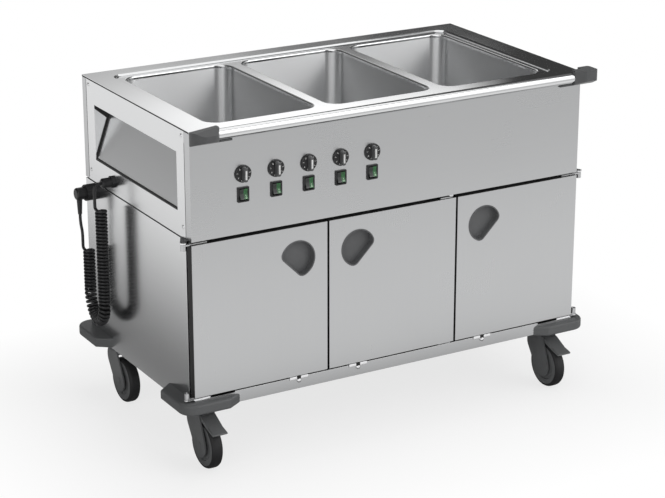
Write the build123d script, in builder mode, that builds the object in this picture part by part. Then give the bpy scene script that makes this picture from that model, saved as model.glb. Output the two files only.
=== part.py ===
from build123d import *
import os
from math import cos, hypot, pi, radians, sin, tan

os.makedirs("parts", exist_ok=True)

# Wells and worktop, all sizes in millimetres
well_width = 304.0
well_length = 502.0
well_depth = 200.0
well_corner = 38.0
well_floor_radius = 18.0
well_sheet = 1.2
well_gap = 37.0
end_margin = 84.0
front_margin = 58.0
rear_margin = 70.0
top_sheet = 2.0
deck_step = 5.0
deck_slope = 4.0
deck_end_reach = 25.0
deck_side_reach = 21.0
deck_corner = 30.0
lip_width = 7.0
lip_depth = 9.0
lip_radius = 5.0
skirt_depth = 10.0

# Heights, from the floor upwards
wheel_diameter = 125.0
crown_gap = 9.0
crown_height = 20.0
race_height = 10.5
race_gap = 0.5
castor_plate_thickness = 5.0
base_height = 37.0
sill_rise = 5.0
sill_gap = 3.3
sill_step_length = 112.0
door_height = 401.7
header_gap = 9.0
seam_gap = 4.0
ceiling_height = 11.0
casing_height = 279.0
panel_gap = 5.0

# Casing panels, grip pockets and their screws
sheet = 1.5
front_wrap = 29.0
rear_wrap = 25.0
panel_seam = 0.4
pocket_rise = 63.0
pocket_height = 150.0
pocket_length = 486.0
pocket_depth = 57.0
pocket_lip = 12.0
pocket_corner = 3.0
screw_inset = 14.0
screw_low_rise = 29.0
screw_top_drop = 13.0
screw_head_radius = 4.5
screw_head_height = 2.4
screw_chamfer = 1.2
screw_shank_radius = 2.0
screw_shank_length = 6.0
screw_hole_clearance = 0.2

# Front rail and its end caps
nose_radius = 15.0
nose_wall = 2.0
cap_rise = 7.0
cap_drop = 35.0
cap_under_rise = 13.0
left_cap_length = 74.0
left_cap_reach = 38.0
left_cap_corner = 34.0
left_cap_slope = 5.0
left_cap_brow = 12.0
left_cap_brow_fall = 14.0
right_cap_start = 29.0
right_cap_flare = 26.0
right_cap_horn = 35.0
right_cap_return = 15.0
right_cap_reach = 31.0
right_cap_corner = 8.0
tongue_length = 40.0
tongue_height = 5.0
tongue_depth = 5.0

# Controls
control_first = 143.0
control_pitch = 92.0
control_count = 5
knob_rise = 154.0
knob_radius = 22.0
knob_skirt = 5.0
knob_chamfer = 1.6
knob_gap = 0.6
knob_bar_width = 12.0
knob_bar_height = 14.0
knob_bar_inset = 2.5
knob_bar_fillet = 2.4
shaft_radius = 3.0
shaft_hole_clearance = 1.0
shaft_depth = 22.0
running_clearance = 0.05
thermostat_size = 40.0
thermostat_depth = 38.0
switch_rise = 101.0
bezel_width = 32.0
bezel_height = 39.0
bezel_proud = 3.0
bezel_corner = 3.0
switch_depth = 26.0
switch_wall = 2.2
rocker_width = 22.0
rocker_reach = 13.0
rocker_peak = 8.4
rocker_dip = 5.0
rocker_back = 4.0
rocker_tilt = 10.0
rocker_play = 0.4
rocker_pin_radius = 1.5
rocker_pin_length = 1.4
rocker_set_back = 2.0

# Cabinet
wall_thickness = 28.0
rear_wall_thickness = 24.0
partition_thickness = 24.0
seam_depth = 7.0
seam_ledge = 30.0
door_thickness = 24.0
door_setback = 8.0
door_gap = 6.0
door_sheet = 1.2
gasket_thickness = 4.0
gasket_width = 9.0

# Door hinges
hinge_out = 16.0
hinge_in = 13.0
inner_hinge_edge = 10.0
inner_hinge_in = 11.0
hinge_pin_radius = 3.0
barrel_radius = 7.0
barrel_length = 16.0
barrel_gap = 0.7
strap_thickness = 3.7
foot_strap_thickness = 2.6
strap_reach = 45.0
bracket_thickness = 3.7
bracket_radius = 8.0
bracket_pad = 6.0
bracket_length = 28.0

# Recessed door grips and the catches on the sill
grip_radius = 48.0
grip_chord = 27.0
grip_corner = 16.0
grip_inset = 85.0
grip_drop = 86.0
grip_depth = 18.0
grip_wall = 1.6
grip_flange = 1.8
grip_flange_proud = 1.2
catch_width = 54.0
catch_height = 8.0
catch_proud = 2.5
catch_rise = 2.4
catch_buffer_width = 10.0
catch_buffer_proud = 5.0
catch_stub_radius = 5.5
catch_stub_drop = 7.5

# Heating plates
plate_thickness = 5.0
plate_inset = 40.0

# Corner bumpers
bumper_end_proud = 38.0
bumper_front_proud = 22.0
bumper_rear_proud = 32.0
bumper_height = 28.0
bumper_rise = 1.0
bumper_front_arm = 90.0
bumper_front_foot = 125.0
bumper_end_arm = 120.0
bumper_end_foot = 152.0
bumper_rear_end_arm = 104.0
bumper_rear_end_foot = 134.0
bumper_corner = 40.0
bumper_fillet = 6.0

# Castors
castor_inset_x = 48.0
castor_inset_y = 71.5
castor_trail = 37.5
castor_plate_width = 88.0
castor_plate_length = 100.0
castor_plate_corner = 10.0
kingpin_radius = 6.0
kingpin_head_radius = 10.0
kingpin_head_height = 3.0
race_radius = 32.0
fork_width = 45.0
fork_slot = 37.0
fork_foot_radius = 31.0
fork_back_radius = 34.0
fork_back_shift = 2.0
axle_radius = 5.0
axle_head_radius = 9.0
axle_head_height = 0.8
wheel_width = 32.0
tyre_depth = 16.0
tyre_shoulder = 9.0
hub_width = 36.0
hub_radius = 14.0
web_recess = 6.0
pedal_pivot_ahead = 34.0
pedal_pivot_drop = 15.0
pedal_hub_radius = 7.0
pedal_pin_radius = 3.0
pedal_side_gap = 0.5
pedal_length = 76.5
pedal_fall = 22.5
pedal_thickness = 5.0
pedal_width = 41.0
pedal_root_ahead = 11.0
pedal_root_rise = 5.5
pedal_bend_ahead = 52.0
pedal_bend_fall = 14.5
pedal_bend_depth = 4.5
pedal_heel_ahead = 15.5
pedal_heel_fall = 7.0
shoe_ahead = 24.0
shoe_length = 14.0
shoe_gap = 6.0

# Mains lead: gland, curly cord, plug and its parking socket
wire_diameter = 8.4
coil_radius = 12.3
coil_pitch = 9.4
turns_down = 28
turns_bend = 16.5
turns_up = 12.5
column_spacing = 118.7
column_lean = -12.5
coil_end_radius = 14.0
tail_arc_share = 0.45
gland_length = 35.0
gland_rise = 32.0
gland_inset = 177.5
gland_nut_radius = 16.5
gland_nut_height = 9.0
gland_cap_radius = 13.0
gland_chamfer = 4.0
gland_shank_radius = 10.0
gland_shank_length = 12.0
gland_hole_clearance = 0.2
gland_route = [(0, 0, 0), (-8.2, 0, 0), (-15.2, 0, -4.1), (-19.3, 0, -11.1), (-19.3, 0, -44)]
plug_route = [(0, 0, 0), (0, 0, 26), (-4, 2, 50), (-4, 2, 74.6)]
socket_radius = 22.0
socket_length = 30.0
socket_recess = 13.0
socket_wall = 3.0
plug_clearance = 0.5
plug_nose_length = 16.0
plug_body_radius = 16.5
plug_back = 11.0
plug_fillet = 5.5
plug_rise = 56.0
plug_pin_radius = 2.4
plug_pin_length = 16.0
plug_pin_spacing = 19.0
relief_radius = 5.5
relief_top_radius = 8.5

# Places worked out from the sizes above
body_length = 3 * well_width + 2 * well_gap + 2 * end_margin
body_depth = well_length + front_margin + rear_margin
left = -body_length / 2
right = body_length / 2
front = -body_depth / 2
rear = body_depth / 2
well_y = (front_margin - rear_margin) / 2
well_pitch = well_width + well_gap
well_xs = [-well_pitch, 0.0, well_pitch]

axle_z = wheel_diameter / 2
crown_bottom = wheel_diameter + crown_gap
crown_top = crown_bottom + crown_height
race_top = crown_top + race_height
castor_plate_bottom = race_top + race_gap
base_bottom = castor_plate_bottom + castor_plate_thickness
base_top = base_bottom + base_height
door_bottom = base_top + sill_gap
door_top = door_bottom + door_height
casing_bottom = door_top + header_gap
wall_top = casing_bottom - seam_gap
ceiling_bottom = wall_top - ceiling_height
top_height = casing_bottom + casing_height
panel_top = top_height - panel_gap
deck_z = top_height - deck_step
deck_bottom = deck_z - top_sheet
lip_bottom = deck_z - lip_depth
well_floor = deck_z - well_depth

cabinet_front = front + door_thickness + door_setback
cabinet_rear = rear - rear_wall_thickness
inner_left = left + wall_thickness
inner_right = right - wall_thickness
door_width = (body_length - 2 * door_gap) / 3
partition_x = (door_width + door_gap) / 2
control_xs = [left + control_first + k * control_pitch for k in range(control_count)]
knob_z = casing_bottom + knob_rise
switch_z = casing_bottom + switch_rise
gland_y = rear - gland_inset
gland_z = casing_bottom + gland_rise


def front_plane(x, z, y):
    """Sketch plane facing the front: its x is the width and its y the height."""
    return Plane(origin=(x, y, z), x_dir=(1, 0, 0), z_dir=(0, -1, 0))


def side_plane(x):
    """Sketch plane facing right: its x is the depth and its y the height."""
    return Plane(origin=(x, 0, 0), x_dir=(0, 1, 0), z_dir=(1, 0, 0))


def save(piece, name):
    piece.part.label = name
    export_step(piece.part, f"parts/{name}.step")


# Worktop: a rim, a lowered deck, a lip round each well and a skirt inside the panels
deck_length = body_length - 2 * end_margin + 2 * deck_end_reach
deck_width = well_length + 2 * deck_side_reach

with BuildPart() as worktop:
    with BuildSketch(Plane.XY.offset(deck_bottom)):
        Rectangle(body_length, body_depth)
    extrude(amount=top_height - deck_bottom)
    with BuildSketch(Plane.XY.offset(top_height)):
        with Locations((0, well_y)):
            RectangleRounded(deck_length, deck_width, deck_corner)
    with BuildSketch(Plane.XY.offset(deck_z)):
        with Locations((0, well_y)):
            RectangleRounded(
                deck_length - 2 * deck_slope, deck_width - 2 * deck_slope, deck_corner - deck_slope
            )
    loft(mode=Mode.SUBTRACT)
    with BuildSketch(Plane.XY.offset(deck_bottom)):
        Rectangle(body_length, body_depth)
        with Locations((0, well_y)):
            RectangleRounded(
                deck_length + 2 * top_sheet,
                deck_width + 2 * top_sheet,
                deck_corner + top_sheet,
                mode=Mode.SUBTRACT,
            )
    extrude(amount=deck_step, mode=Mode.SUBTRACT)
    with BuildSketch(Plane.XY.offset(lip_bottom)):
        for x in well_xs:
            with Locations((x, well_y)):
                RectangleRounded(
                    well_width + 2 * lip_width, well_length + 2 * lip_width, well_corner + lip_width
                )
    extrude(amount=deck_bottom - lip_bottom)
    with BuildSketch(Plane.XY.offset(lip_bottom)):
        for x in well_xs:
            with Locations((x, well_y)):
                RectangleRounded(well_width, well_length, well_corner)
    extrude(amount=lip_depth, mode=Mode.SUBTRACT)
    deck_edges = worktop.edges().filter_by_position(Axis.Z, deck_z, deck_z)
    inside_deck = deck_edges.filter_by(
        lambda edge: abs(edge.center().X) < right - end_margin + deck_end_reach - 2 * deck_slope
        and abs(edge.center().Y - well_y) < (deck_width - 3 * deck_slope) / 2
    )
    fillet(inside_deck, lip_radius)
    with BuildSketch(Plane.XY.offset(top_height - top_sheet)):
        Rectangle(body_length - 2 * sheet, body_depth - 2 * sheet)
        Rectangle(body_length - 4 * sheet, body_depth - 4 * sheet, mode=Mode.SUBTRACT)
    extrude(amount=-skirt_depth)
save(worktop, "worktop")


# Wells: deep tubs whose flanges seat under the worktop's lips
def make_well(x):
    with BuildPart() as well:
        with BuildSketch(Plane.XY.offset(well_floor)):
            with Locations((x, well_y)):
                RectangleRounded(
                    well_width + 2 * well_sheet, well_length + 2 * well_sheet, well_corner + well_sheet
                )
        extrude(amount=lip_bottom - well_floor)
        fillet(well.faces().sort_by(Axis.Z)[0].edges(), well_floor_radius)
        offset(amount=-well_sheet, openings=well.faces().sort_by(Axis.Z)[-1])
        with BuildSketch(Plane.XY.offset(lip_bottom)):
            with Locations((x, well_y)):
                RectangleRounded(
                    well_width + 2 * lip_width, well_length + 2 * lip_width, well_corner + lip_width
                )
                RectangleRounded(well_width, well_length, well_corner, mode=Mode.SUBTRACT)
        extrude(amount=-well_sheet)
    return well


for x, place in zip(well_xs, ["left", "middle", "right"]):
    save(make_well(x), f"well_{place}")

# Heating plates: one under each well, one under the floor of each outer compartment
compartment_edges = [
    (inner_left, -partition_x - partition_thickness / 2),
    (-partition_x + partition_thickness / 2, partition_x - partition_thickness / 2),
    (partition_x + partition_thickness / 2, inner_right),
]
heated_edges = [compartment_edges[0], compartment_edges[2]]
cabinet_y = (cabinet_front + cabinet_rear) / 2
cabinet_depth = cabinet_rear - cabinet_front

with BuildPart() as heating_plates:
    with BuildSketch(Plane.XY.offset(well_floor)):
        for x in well_xs:
            with Locations((x, well_y)):
                Rectangle(well_width - 2 * plate_inset, well_length - 2 * plate_inset)
    extrude(amount=-plate_thickness)
    with BuildSketch(Plane.XY.offset(base_top - sheet)):
        for low, high in heated_edges:
            with Locations(((low + high) / 2, cabinet_y)):
                Rectangle(high - low - 2 * plate_inset, cabinet_depth - 2 * plate_inset)
    extrude(amount=-plate_thickness)
save(heating_plates, "heating_plates")

# Control panel: the front sheet, wrapped round both corners, with its holes
cut_width = rocker_width + 2 * rocker_play + 2 * switch_wall
rocker_radius = hypot(rocker_reach, rocker_peak)
cut_height = 2 * (rocker_radius + rocker_play + switch_wall)

with BuildPart() as control_panel:
    with BuildSketch(Plane.XY.offset(casing_bottom)):
        with Locations((0, front + front_wrap / 2)):
            Rectangle(body_length, front_wrap)
        with Locations((0, front + sheet + front_wrap / 2)):
            Rectangle(body_length - 2 * sheet, front_wrap, mode=Mode.SUBTRACT)
    extrude(amount=panel_top - casing_bottom)
    with BuildSketch(front_plane(0, 0, front)):
        with Locations([(x, knob_z) for x in control_xs]):
            Circle(shaft_radius + shaft_hole_clearance)
        with Locations([(x, switch_z) for x in control_xs]):
            Rectangle(cut_width, cut_height)
    extrude(amount=-2 * sheet, mode=Mode.SUBTRACT)
save(control_panel, "control_panel")

# Upper rear panel: the same wrap at the back
with BuildPart() as upper_rear_panel:
    with BuildSketch(Plane.XY.offset(casing_bottom)):
        with Locations((0, rear - rear_wrap / 2)):
            Rectangle(body_length, rear_wrap)
        with Locations((0, rear - sheet - rear_wrap / 2)):
            Rectangle(body_length - 2 * sheet, rear_wrap, mode=Mode.SUBTRACT)
    extrude(amount=panel_top - casing_bottom)
save(upper_rear_panel, "upper_rear_panel")

# End panels: flat sheets between the wraps, each with a grip opening and screw holes
end_front = front + front_wrap + panel_seam
end_rear = rear - rear_wrap - panel_seam
end_height = panel_top - casing_bottom
pocket_bottom = casing_bottom + pocket_rise
pocket_top = pocket_bottom + pocket_height
screw_places = [
    (y, z)
    for y in (end_front + screw_inset, end_rear - screw_inset)
    for z in (casing_bottom + screw_low_rise, panel_top - screw_top_drop)
]


def make_end_panel(x, with_gland):
    with BuildPart() as panel:
        with BuildSketch(side_plane(x)):
            with Locations(((end_front + end_rear) / 2, casing_bottom + end_height / 2)):
                Rectangle(end_rear - end_front, end_height)
            with Locations((0, pocket_bottom + pocket_height / 2)):
                RectangleRounded(pocket_length, pocket_height, pocket_corner, mode=Mode.SUBTRACT)
            with Locations(screw_places):
                Circle(screw_shank_radius + screw_hole_clearance, mode=Mode.SUBTRACT)
            if with_gland:
                with Locations((gland_y, gland_z)):
                    Circle(gland_shank_radius + gland_hole_clearance, mode=Mode.SUBTRACT)
        extrude(amount=sheet)
    return panel


save(make_end_panel(left, True), "end_panel_left")
save(make_end_panel(right - sheet, False), "end_panel_right")

# Grip pockets: trays that slope inwards behind the end openings, with a roof above the hand
tray_top = pocket_top + pocket_lip
tray_height = tray_top - pocket_bottom
tray_lean = pocket_depth / tray_height
tray_drop = sheet * hypot(pocket_depth, tray_height) / pocket_depth


def make_pocket(side):
    mouth = side * (right - sheet)
    foot = pocket_bottom - tray_drop
    roof = tray_top + sheet
    with BuildPart() as pocket:
        with BuildSketch(front_plane(0, 0, 0)):
            with BuildLine():
                Polyline(
                    (mouth, foot),
                    (mouth - side * tray_lean * (roof - foot), roof),
                    (mouth, roof),
                    close=True,
                )
            make_face()
        extrude(amount=pocket_length / 2 + sheet, both=True)
        with BuildSketch(front_plane(0, 0, 0)):
            with BuildLine():
                Polyline(
                    (mouth, pocket_bottom),
                    (mouth - side * pocket_depth, tray_top),
                    (mouth, tray_top),
                    close=True,
                )
            make_face()
        extrude(amount=pocket_length / 2, both=True, mode=Mode.SUBTRACT)
    return pocket


save(make_pocket(-1), "grip_pocket_left")
save(make_pocket(1), "grip_pocket_right")

# Panel screws: a domed head on each end panel with its shank through the sheet
with BuildPart() as panel_screws:
    for face_x, inward in ((left, 1), (right, -1)):
        with BuildSketch(side_plane(face_x)):
            with Locations(screw_places):
                Circle(screw_head_radius)
        extrude(amount=-inward * screw_head_height)
        with BuildSketch(side_plane(face_x)):
            with Locations(screw_places):
                Circle(screw_shank_radius)
        extrude(amount=inward * screw_shank_length)
    crowns = panel_screws.faces().filter_by(Axis.X)
    outer_crowns = crowns.filter_by(lambda face: abs(face.center().X) > right)
    chamfer(outer_crowns.edges(), screw_chamfer)
save(panel_screws, "panel_screws")

# Front rail: a half-round tube under the worktop's front edge, between the end caps
nose_z = top_height - nose_radius
rail_left = left + left_cap_length
rail_right = right - right_cap_start

with BuildPart() as front_rail:
    with BuildSketch(side_plane(rail_left)):
        with Locations((front, nose_z)):
            Circle(nose_radius)
        with Locations((front + nose_radius, nose_z)):
            Rectangle(2 * nose_radius, 2 * nose_radius, mode=Mode.SUBTRACT)
    extrude(amount=rail_right - rail_left)
    with BuildSketch(side_plane(rail_left)):
        with Locations((front, nose_z)):
            Circle(nose_radius - nose_wall)
        with Locations((front - nose_wall + nose_radius, nose_z)):
            Rectangle(2 * nose_radius, 2 * nose_radius, mode=Mode.SUBTRACT)
    extrude(amount=rail_right - rail_left, mode=Mode.SUBTRACT)
save(front_rail, "front_rail")

# Rail caps: a rounded block at the left, a flared horn at the right, each with a tongue
cap_bottom = top_height - cap_drop
cap_top = top_height + cap_rise
nose_front = front - nose_radius

with BuildPart() as rail_caps:
    with BuildSketch(Plane.XY.offset(cap_bottom)) as left_plan:
        with BuildLine():
            Polyline(
                (left, front),
                (left, front - left_cap_reach),
                (rail_left - nose_radius, front - left_cap_reach),
                (rail_left, nose_front),
                (rail_left, front),
                close=True,
            )
        make_face()
        fillet(left_plan.vertices().group_by(Axis.Y)[0].sort_by(Axis.X)[0], left_cap_corner)
        fillet(left_plan.vertices().group_by(Axis.Y)[0].sort_by(Axis.X)[-1], nose_radius)
    extrude(amount=cap_top - cap_bottom)
    with BuildSketch(front_plane(0, 0, front)):
        with BuildLine():
            Polyline(
                (left, cap_top),
                (left, top_height),
                (rail_left - left_cap_slope, cap_top),
                close=True,
            )
        make_face()
    extrude(amount=left_cap_reach, mode=Mode.SUBTRACT)
    with BuildSketch(side_plane(left)):
        with BuildLine():
            Polyline(
                (front - left_cap_brow, cap_top),
                (front - left_cap_reach, cap_top),
                (front - left_cap_reach, cap_top - left_cap_brow_fall),
                close=True,
            )
        make_face()
    extrude(amount=left_cap_length, mode=Mode.SUBTRACT)
    with BuildSketch(Plane.XY.offset(cap_bottom)) as right_plan:
        with BuildLine():
            Polyline(
                (rail_right, front),
                (rail_right, nose_front),
                (rail_right + right_cap_flare, front - right_cap_reach),
                (right + right_cap_horn, front - right_cap_reach),
                (right + right_cap_horn, front + right_cap_return),
                (right, front + right_cap_return),
                (right, front),
                close=True,
            )
        make_face()
        horn_corners = right_plan.vertices().group_by(Axis.X)[-1]
        fillet(horn_corners, right_cap_corner)
    extrude(amount=cap_top - cap_bottom)
    for start, along, reach in (
        (left, left_cap_length, left_cap_reach),
        (rail_right, right_cap_start + right_cap_horn, right_cap_reach),
    ):
        with BuildSketch(side_plane(start)):
            with BuildLine():
                Polyline(
                    (front - tongue_depth, cap_bottom),
                    (front - reach, cap_bottom),
                    (front - reach, cap_bottom + cap_under_rise),
                    close=True,
                )
            make_face()
        extrude(amount=along, mode=Mode.SUBTRACT)
    for start, along in ((rail_left, tongue_length), (rail_right, -tongue_length)):
        with BuildSketch(side_plane(start)):
            with Locations((front - tongue_depth / 2, nose_z - nose_radius - tongue_height / 2)):
                Rectangle(tongue_depth, tongue_height)
        extrude(amount=along)
save(rail_caps, "rail_caps")

# Thermostats behind the panel, with the knobs' shafts running in them
with BuildPart() as thermostats:
    with BuildSketch(front_plane(0, 0, front + sheet)):
        with Locations([(x, knob_z) for x in control_xs]):
            Rectangle(thermostat_size, thermostat_size)
            Circle(shaft_radius + running_clearance, mode=Mode.SUBTRACT)
    extrude(amount=-thermostat_depth)
save(thermostats, "thermostats")


def make_knob(x):
    with BuildPart() as knob:
        with BuildSketch(front_plane(x, knob_z, front - knob_gap)):
            Circle(knob_radius)
        extrude(amount=knob_skirt)
        skirt_rim = knob.faces().sort_by(Axis.Y)[0].edges()
        chamfer(skirt_rim, knob_chamfer)
        with BuildSketch(front_plane(x, knob_z, front - knob_gap - knob_skirt)):
            SlotOverall(2 * (knob_radius - knob_bar_inset), knob_bar_width, rotation=90)
        extrude(amount=knob_bar_height)
        bar_rim = knob.faces().sort_by(Axis.Y)[0].edges()
        fillet(bar_rim, knob_bar_fillet)
        with BuildSketch(front_plane(x, knob_z, front - knob_gap)):
            Circle(shaft_radius)
        extrude(amount=-knob_gap - sheet - shaft_depth)
    return knob


for k, x in enumerate(control_xs):
    save(make_knob(x), f"knob_{k + 1}")

# Switch bodies: a bezel on the panel and a cup behind it, with bores for the rocker's pins
rocker_y = front + rocker_set_back
cup_width = cut_width - 2 * switch_wall
cup_height = cut_height - 2 * switch_wall

with BuildPart() as switch_bodies:
    with BuildSketch(front_plane(0, 0, front)):
        with Locations([(x, switch_z) for x in control_xs]):
            RectangleRounded(bezel_width, bezel_height, bezel_corner)
    extrude(amount=bezel_proud)
    with BuildSketch(front_plane(0, 0, front)):
        with Locations([(x, switch_z) for x in control_xs]):
            Rectangle(cut_width, cut_height)
    extrude(amount=-switch_depth)
    with BuildSketch(front_plane(0, 0, front - bezel_proud)):
        with Locations([(x, switch_z) for x in control_xs]):
            Rectangle(cup_width, cup_height)
    extrude(amount=-bezel_proud - switch_depth + switch_wall, mode=Mode.SUBTRACT)
    for x in control_xs:
        with BuildSketch(side_plane(x)):
            with Locations((rocker_y, switch_z)):
                Circle(rocker_pin_radius + running_clearance)
        extrude(amount=cut_width / 2 + sheet, both=True, mode=Mode.SUBTRACT)
save(switch_bodies, "switch_bodies")


def make_rocker(x):
    tilt = radians(rocker_tilt)

    def turned(out, up):
        """Point of the tipped profile, from its reach out of the panel and its height."""
        return (
            rocker_y - out * cos(tilt) + up * sin(tilt),
            switch_z + out * sin(tilt) + up * cos(tilt),
        )

    with BuildPart() as rocker:
        with BuildSketch(side_plane(x)):
            with BuildLine():
                Polyline(
                    turned(rocker_peak, rocker_reach),
                    turned(rocker_dip, 0),
                    turned(rocker_peak, -rocker_reach),
                    turned(-rocker_back, -rocker_reach),
                    turned(-rocker_back, rocker_reach),
                    close=True,
                )
            make_face()
        extrude(amount=rocker_width / 2, both=True)
        with BuildSketch(side_plane(x)):
            with Locations((rocker_y, switch_z)):
                Circle(rocker_pin_radius)
        extrude(amount=rocker_width / 2 + rocker_pin_length, both=True)
    return rocker


for k, x in enumerate(control_xs):
    save(make_rocker(x), f"rocker_{k + 1}")


# Cabinet walls: folded sheet slabs
def make_upright(x, y, width, depth, bottom, top):
    with BuildPart() as slab:
        with BuildSketch(Plane.XY.offset(bottom)):
            with Locations((x, y)):
                Rectangle(width, depth)
                Rectangle(width - 2 * sheet, depth - 2 * sheet, mode=Mode.SUBTRACT)
        extrude(amount=top - bottom)
    return slab


wall_depth = rear - cabinet_front
wall_y = (rear + cabinet_front) / 2
inner_length = inner_right - inner_left
left_wall_x = left + wall_thickness / 2
rear_wall_y = rear - rear_wall_thickness / 2

for side, place in ((-1, "left"), (1, "right")):
    wall_x = -side * left_wall_x
    wall = make_upright(wall_x, wall_y, wall_thickness, wall_depth, base_bottom, wall_top)
    save(wall, f"side_wall_{place}")
    partition = make_upright(
        side * partition_x, cabinet_y, partition_thickness, cabinet_depth, base_top, ceiling_bottom
    )
    save(partition, f"partition_{place}")

rear_wall = make_upright(0, rear_wall_y, inner_length, rear_wall_thickness, base_bottom, wall_top)
save(rear_wall, "rear_wall")

# Ceiling: a hollow slab between the walls, a cover set back in the seam and the casing's floor
cover_length = body_length - 2 * seam_depth
cover_depth = rear - seam_depth - cabinet_front

with BuildPart() as cabinet_ceiling:
    with BuildSketch(front_plane(0, (ceiling_bottom + wall_top) / 2, cabinet_front)):
        Rectangle(inner_length, ceiling_height)
        Rectangle(inner_length - 2 * sheet, ceiling_height - 2 * sheet, mode=Mode.SUBTRACT)
    extrude(amount=-cabinet_depth)
    with BuildSketch(Plane.XY.offset(wall_top)):
        with Locations((0, (cabinet_front + rear - seam_depth) / 2)):
            Rectangle(cover_length, cover_depth)
            Rectangle(cover_length - 2 * seam_ledge, cover_depth - 2 * seam_ledge, mode=Mode.SUBTRACT)
    extrude(amount=seam_gap)
    with BuildSketch(Plane.XY.offset(casing_bottom)):
        Rectangle(body_length - 2 * sheet, body_depth - 2 * sheet)
    extrude(amount=sheet)
save(cabinet_ceiling, "cabinet_ceiling")

# Base tray: a hollow floor with the front sill folded onto it, lower under the outer hinges
sill_bottom = base_bottom + sill_rise
sill_height = base_top - sill_bottom
sill_depth = cabinet_front - front
step_z = base_top - bracket_thickness

with BuildPart() as base_tray:
    with BuildSketch(front_plane(0, (base_bottom + base_top) / 2, cabinet_front)):
        Rectangle(inner_length, base_height)
        Rectangle(inner_length - 2 * sheet, base_height - 2 * sheet, mode=Mode.SUBTRACT)
    extrude(amount=-cabinet_depth)
    with BuildSketch(front_plane(0, sill_bottom + sill_height / 2, cabinet_front)):
        Rectangle(body_length, sill_height)
    extrude(amount=sill_depth)
    with BuildSketch(front_plane(0, sill_bottom + sill_height / 2, cabinet_front)):
        Rectangle(body_length - 2 * sheet, sill_height - 2 * sheet)
    extrude(amount=sill_depth - sheet, mode=Mode.SUBTRACT)
    for side in (-1, 1):
        step_middle = side * (right - sill_step_length / 2)
        riser_x = side * (right - sill_step_length - sheet / 2)
        with BuildSketch(front_plane(step_middle, (step_z + base_top) / 2, cabinet_front)):
            Rectangle(sill_step_length, base_top - step_z)
        extrude(amount=sill_depth, mode=Mode.SUBTRACT)
        with BuildSketch(front_plane(step_middle, step_z - sheet / 2, cabinet_front)):
            Rectangle(sill_step_length, sheet)
        extrude(amount=sill_depth)
        with BuildSketch(front_plane(riser_x, (step_z - sheet + base_top) / 2, cabinet_front)):
            Rectangle(sheet, base_top - step_z + sheet)
        extrude(amount=sill_depth)
save(base_tray, "base_tray")

# Door gaskets: a flat ring round each compartment's mouth
gasket_foot = base_top
gasket_head = ceiling_bottom + gasket_width

with BuildPart() as door_gaskets:
    for low, high in compartment_edges:
        with BuildSketch(front_plane((low + high) / 2, 0, cabinet_front)):
            with Locations((0, (gasket_foot + gasket_head) / 2)):
                Rectangle(high - low + 2 * gasket_width, gasket_head - gasket_foot)
                Rectangle(high - low, gasket_head - gasket_foot - 2 * gasket_width, mode=Mode.SUBTRACT)
        extrude(amount=gasket_thickness)
save(door_gaskets, "door_gaskets")

# Doors: where each one starts, which side its hinge is on and where its pin stands
pin_y = front + hinge_in
inner_pin_y = front + inner_hinge_in
grip_z = door_top - grip_drop
door_starts = [left + k * (door_width + door_gap) for k in range(3)]
inner_pin_x = door_starts[1] + door_width - inner_hinge_edge
strap_bore = hinge_pin_radius + running_clearance


def grip_outline(plane, toward_hinge, grow):
    """Round cup with one flat side, low and on the hinge's side."""
    lean = toward_hinge * cos(pi / 4)
    reach = grip_chord + grow + grip_radius
    with BuildSketch(plane) as outline:
        Circle(grip_radius + grow)
        with Locations((lean * reach, -sin(pi / 4) * reach)):
            Rectangle(2 * grip_radius, 4 * grip_radius, rotation=-45 * toward_hinge, mode=Mode.SUBTRACT)
        fillet(outline.vertices(), grip_corner + grow)
    return outline.sketch


def make_door(start, grip_x, toward_hinge, pin, barrel):
    middle = start + door_width / 2
    pin_x, pin_depth = pin
    edge_x = start if toward_hinge < 0 else start + door_width
    strap_end = edge_x - toward_hinge * strap_reach
    with BuildPart() as door:
        with BuildSketch(front_plane(middle, door_bottom + door_height / 2, front)):
            Rectangle(door_width, door_height)
        extrude(amount=-door_thickness)
        with BuildSketch(front_plane(middle, door_bottom + door_height / 2, front + door_sheet)):
            Rectangle(door_width - 2 * door_sheet, door_height - 2 * door_sheet)
        extrude(amount=-door_thickness + 2 * door_sheet, mode=Mode.SUBTRACT)
        extrude(
            grip_outline(front_plane(grip_x, grip_z, front), toward_hinge, 0),
            amount=-2 * door_sheet,
            mode=Mode.SUBTRACT,
        )
        for face_z, outward, thickness in (
            (door_top, 1, strap_thickness),
            (door_bottom, -1, foot_strap_thickness),
        ):
            with BuildSketch(Plane.XY.offset(face_z)):
                with Locations((pin_x, pin_depth)):
                    Circle(barrel_radius)
                with Locations(((pin_x + strap_end) / 2, pin_depth)):
                    Rectangle(abs(pin_x - strap_end), 2 * barrel_radius)
            extrude(amount=outward * thickness)
            if barrel:
                with BuildSketch(Plane.XY.offset(face_z + outward * thickness)):
                    with Locations((pin_x, pin_depth)):
                        Circle(barrel_radius)
                extrude(amount=-outward * barrel_length)
            with BuildSketch(Plane.XY.offset(face_z + outward * thickness)):
                with Locations((pin_x, pin_depth)):
                    Circle(strap_bore)
            extrude(amount=-outward * (barrel_length if barrel else thickness), mode=Mode.SUBTRACT)
    return door


def make_grip(grip_x, toward_hinge):
    with BuildPart() as grip:
        plane = front_plane(grip_x, grip_z, front)
        extrude(grip_outline(plane, toward_hinge, grip_flange), amount=grip_flange_proud)
        extrude(grip_outline(plane, toward_hinge, 0), amount=-grip_depth)
        mouth = front_plane(grip_x, grip_z, front - grip_flange_proud)
        extrude(
            grip_outline(mouth, toward_hinge, -grip_wall),
            amount=-grip_depth - grip_flange_proud + grip_wall,
            mode=Mode.SUBTRACT,
        )
    return grip


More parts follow.
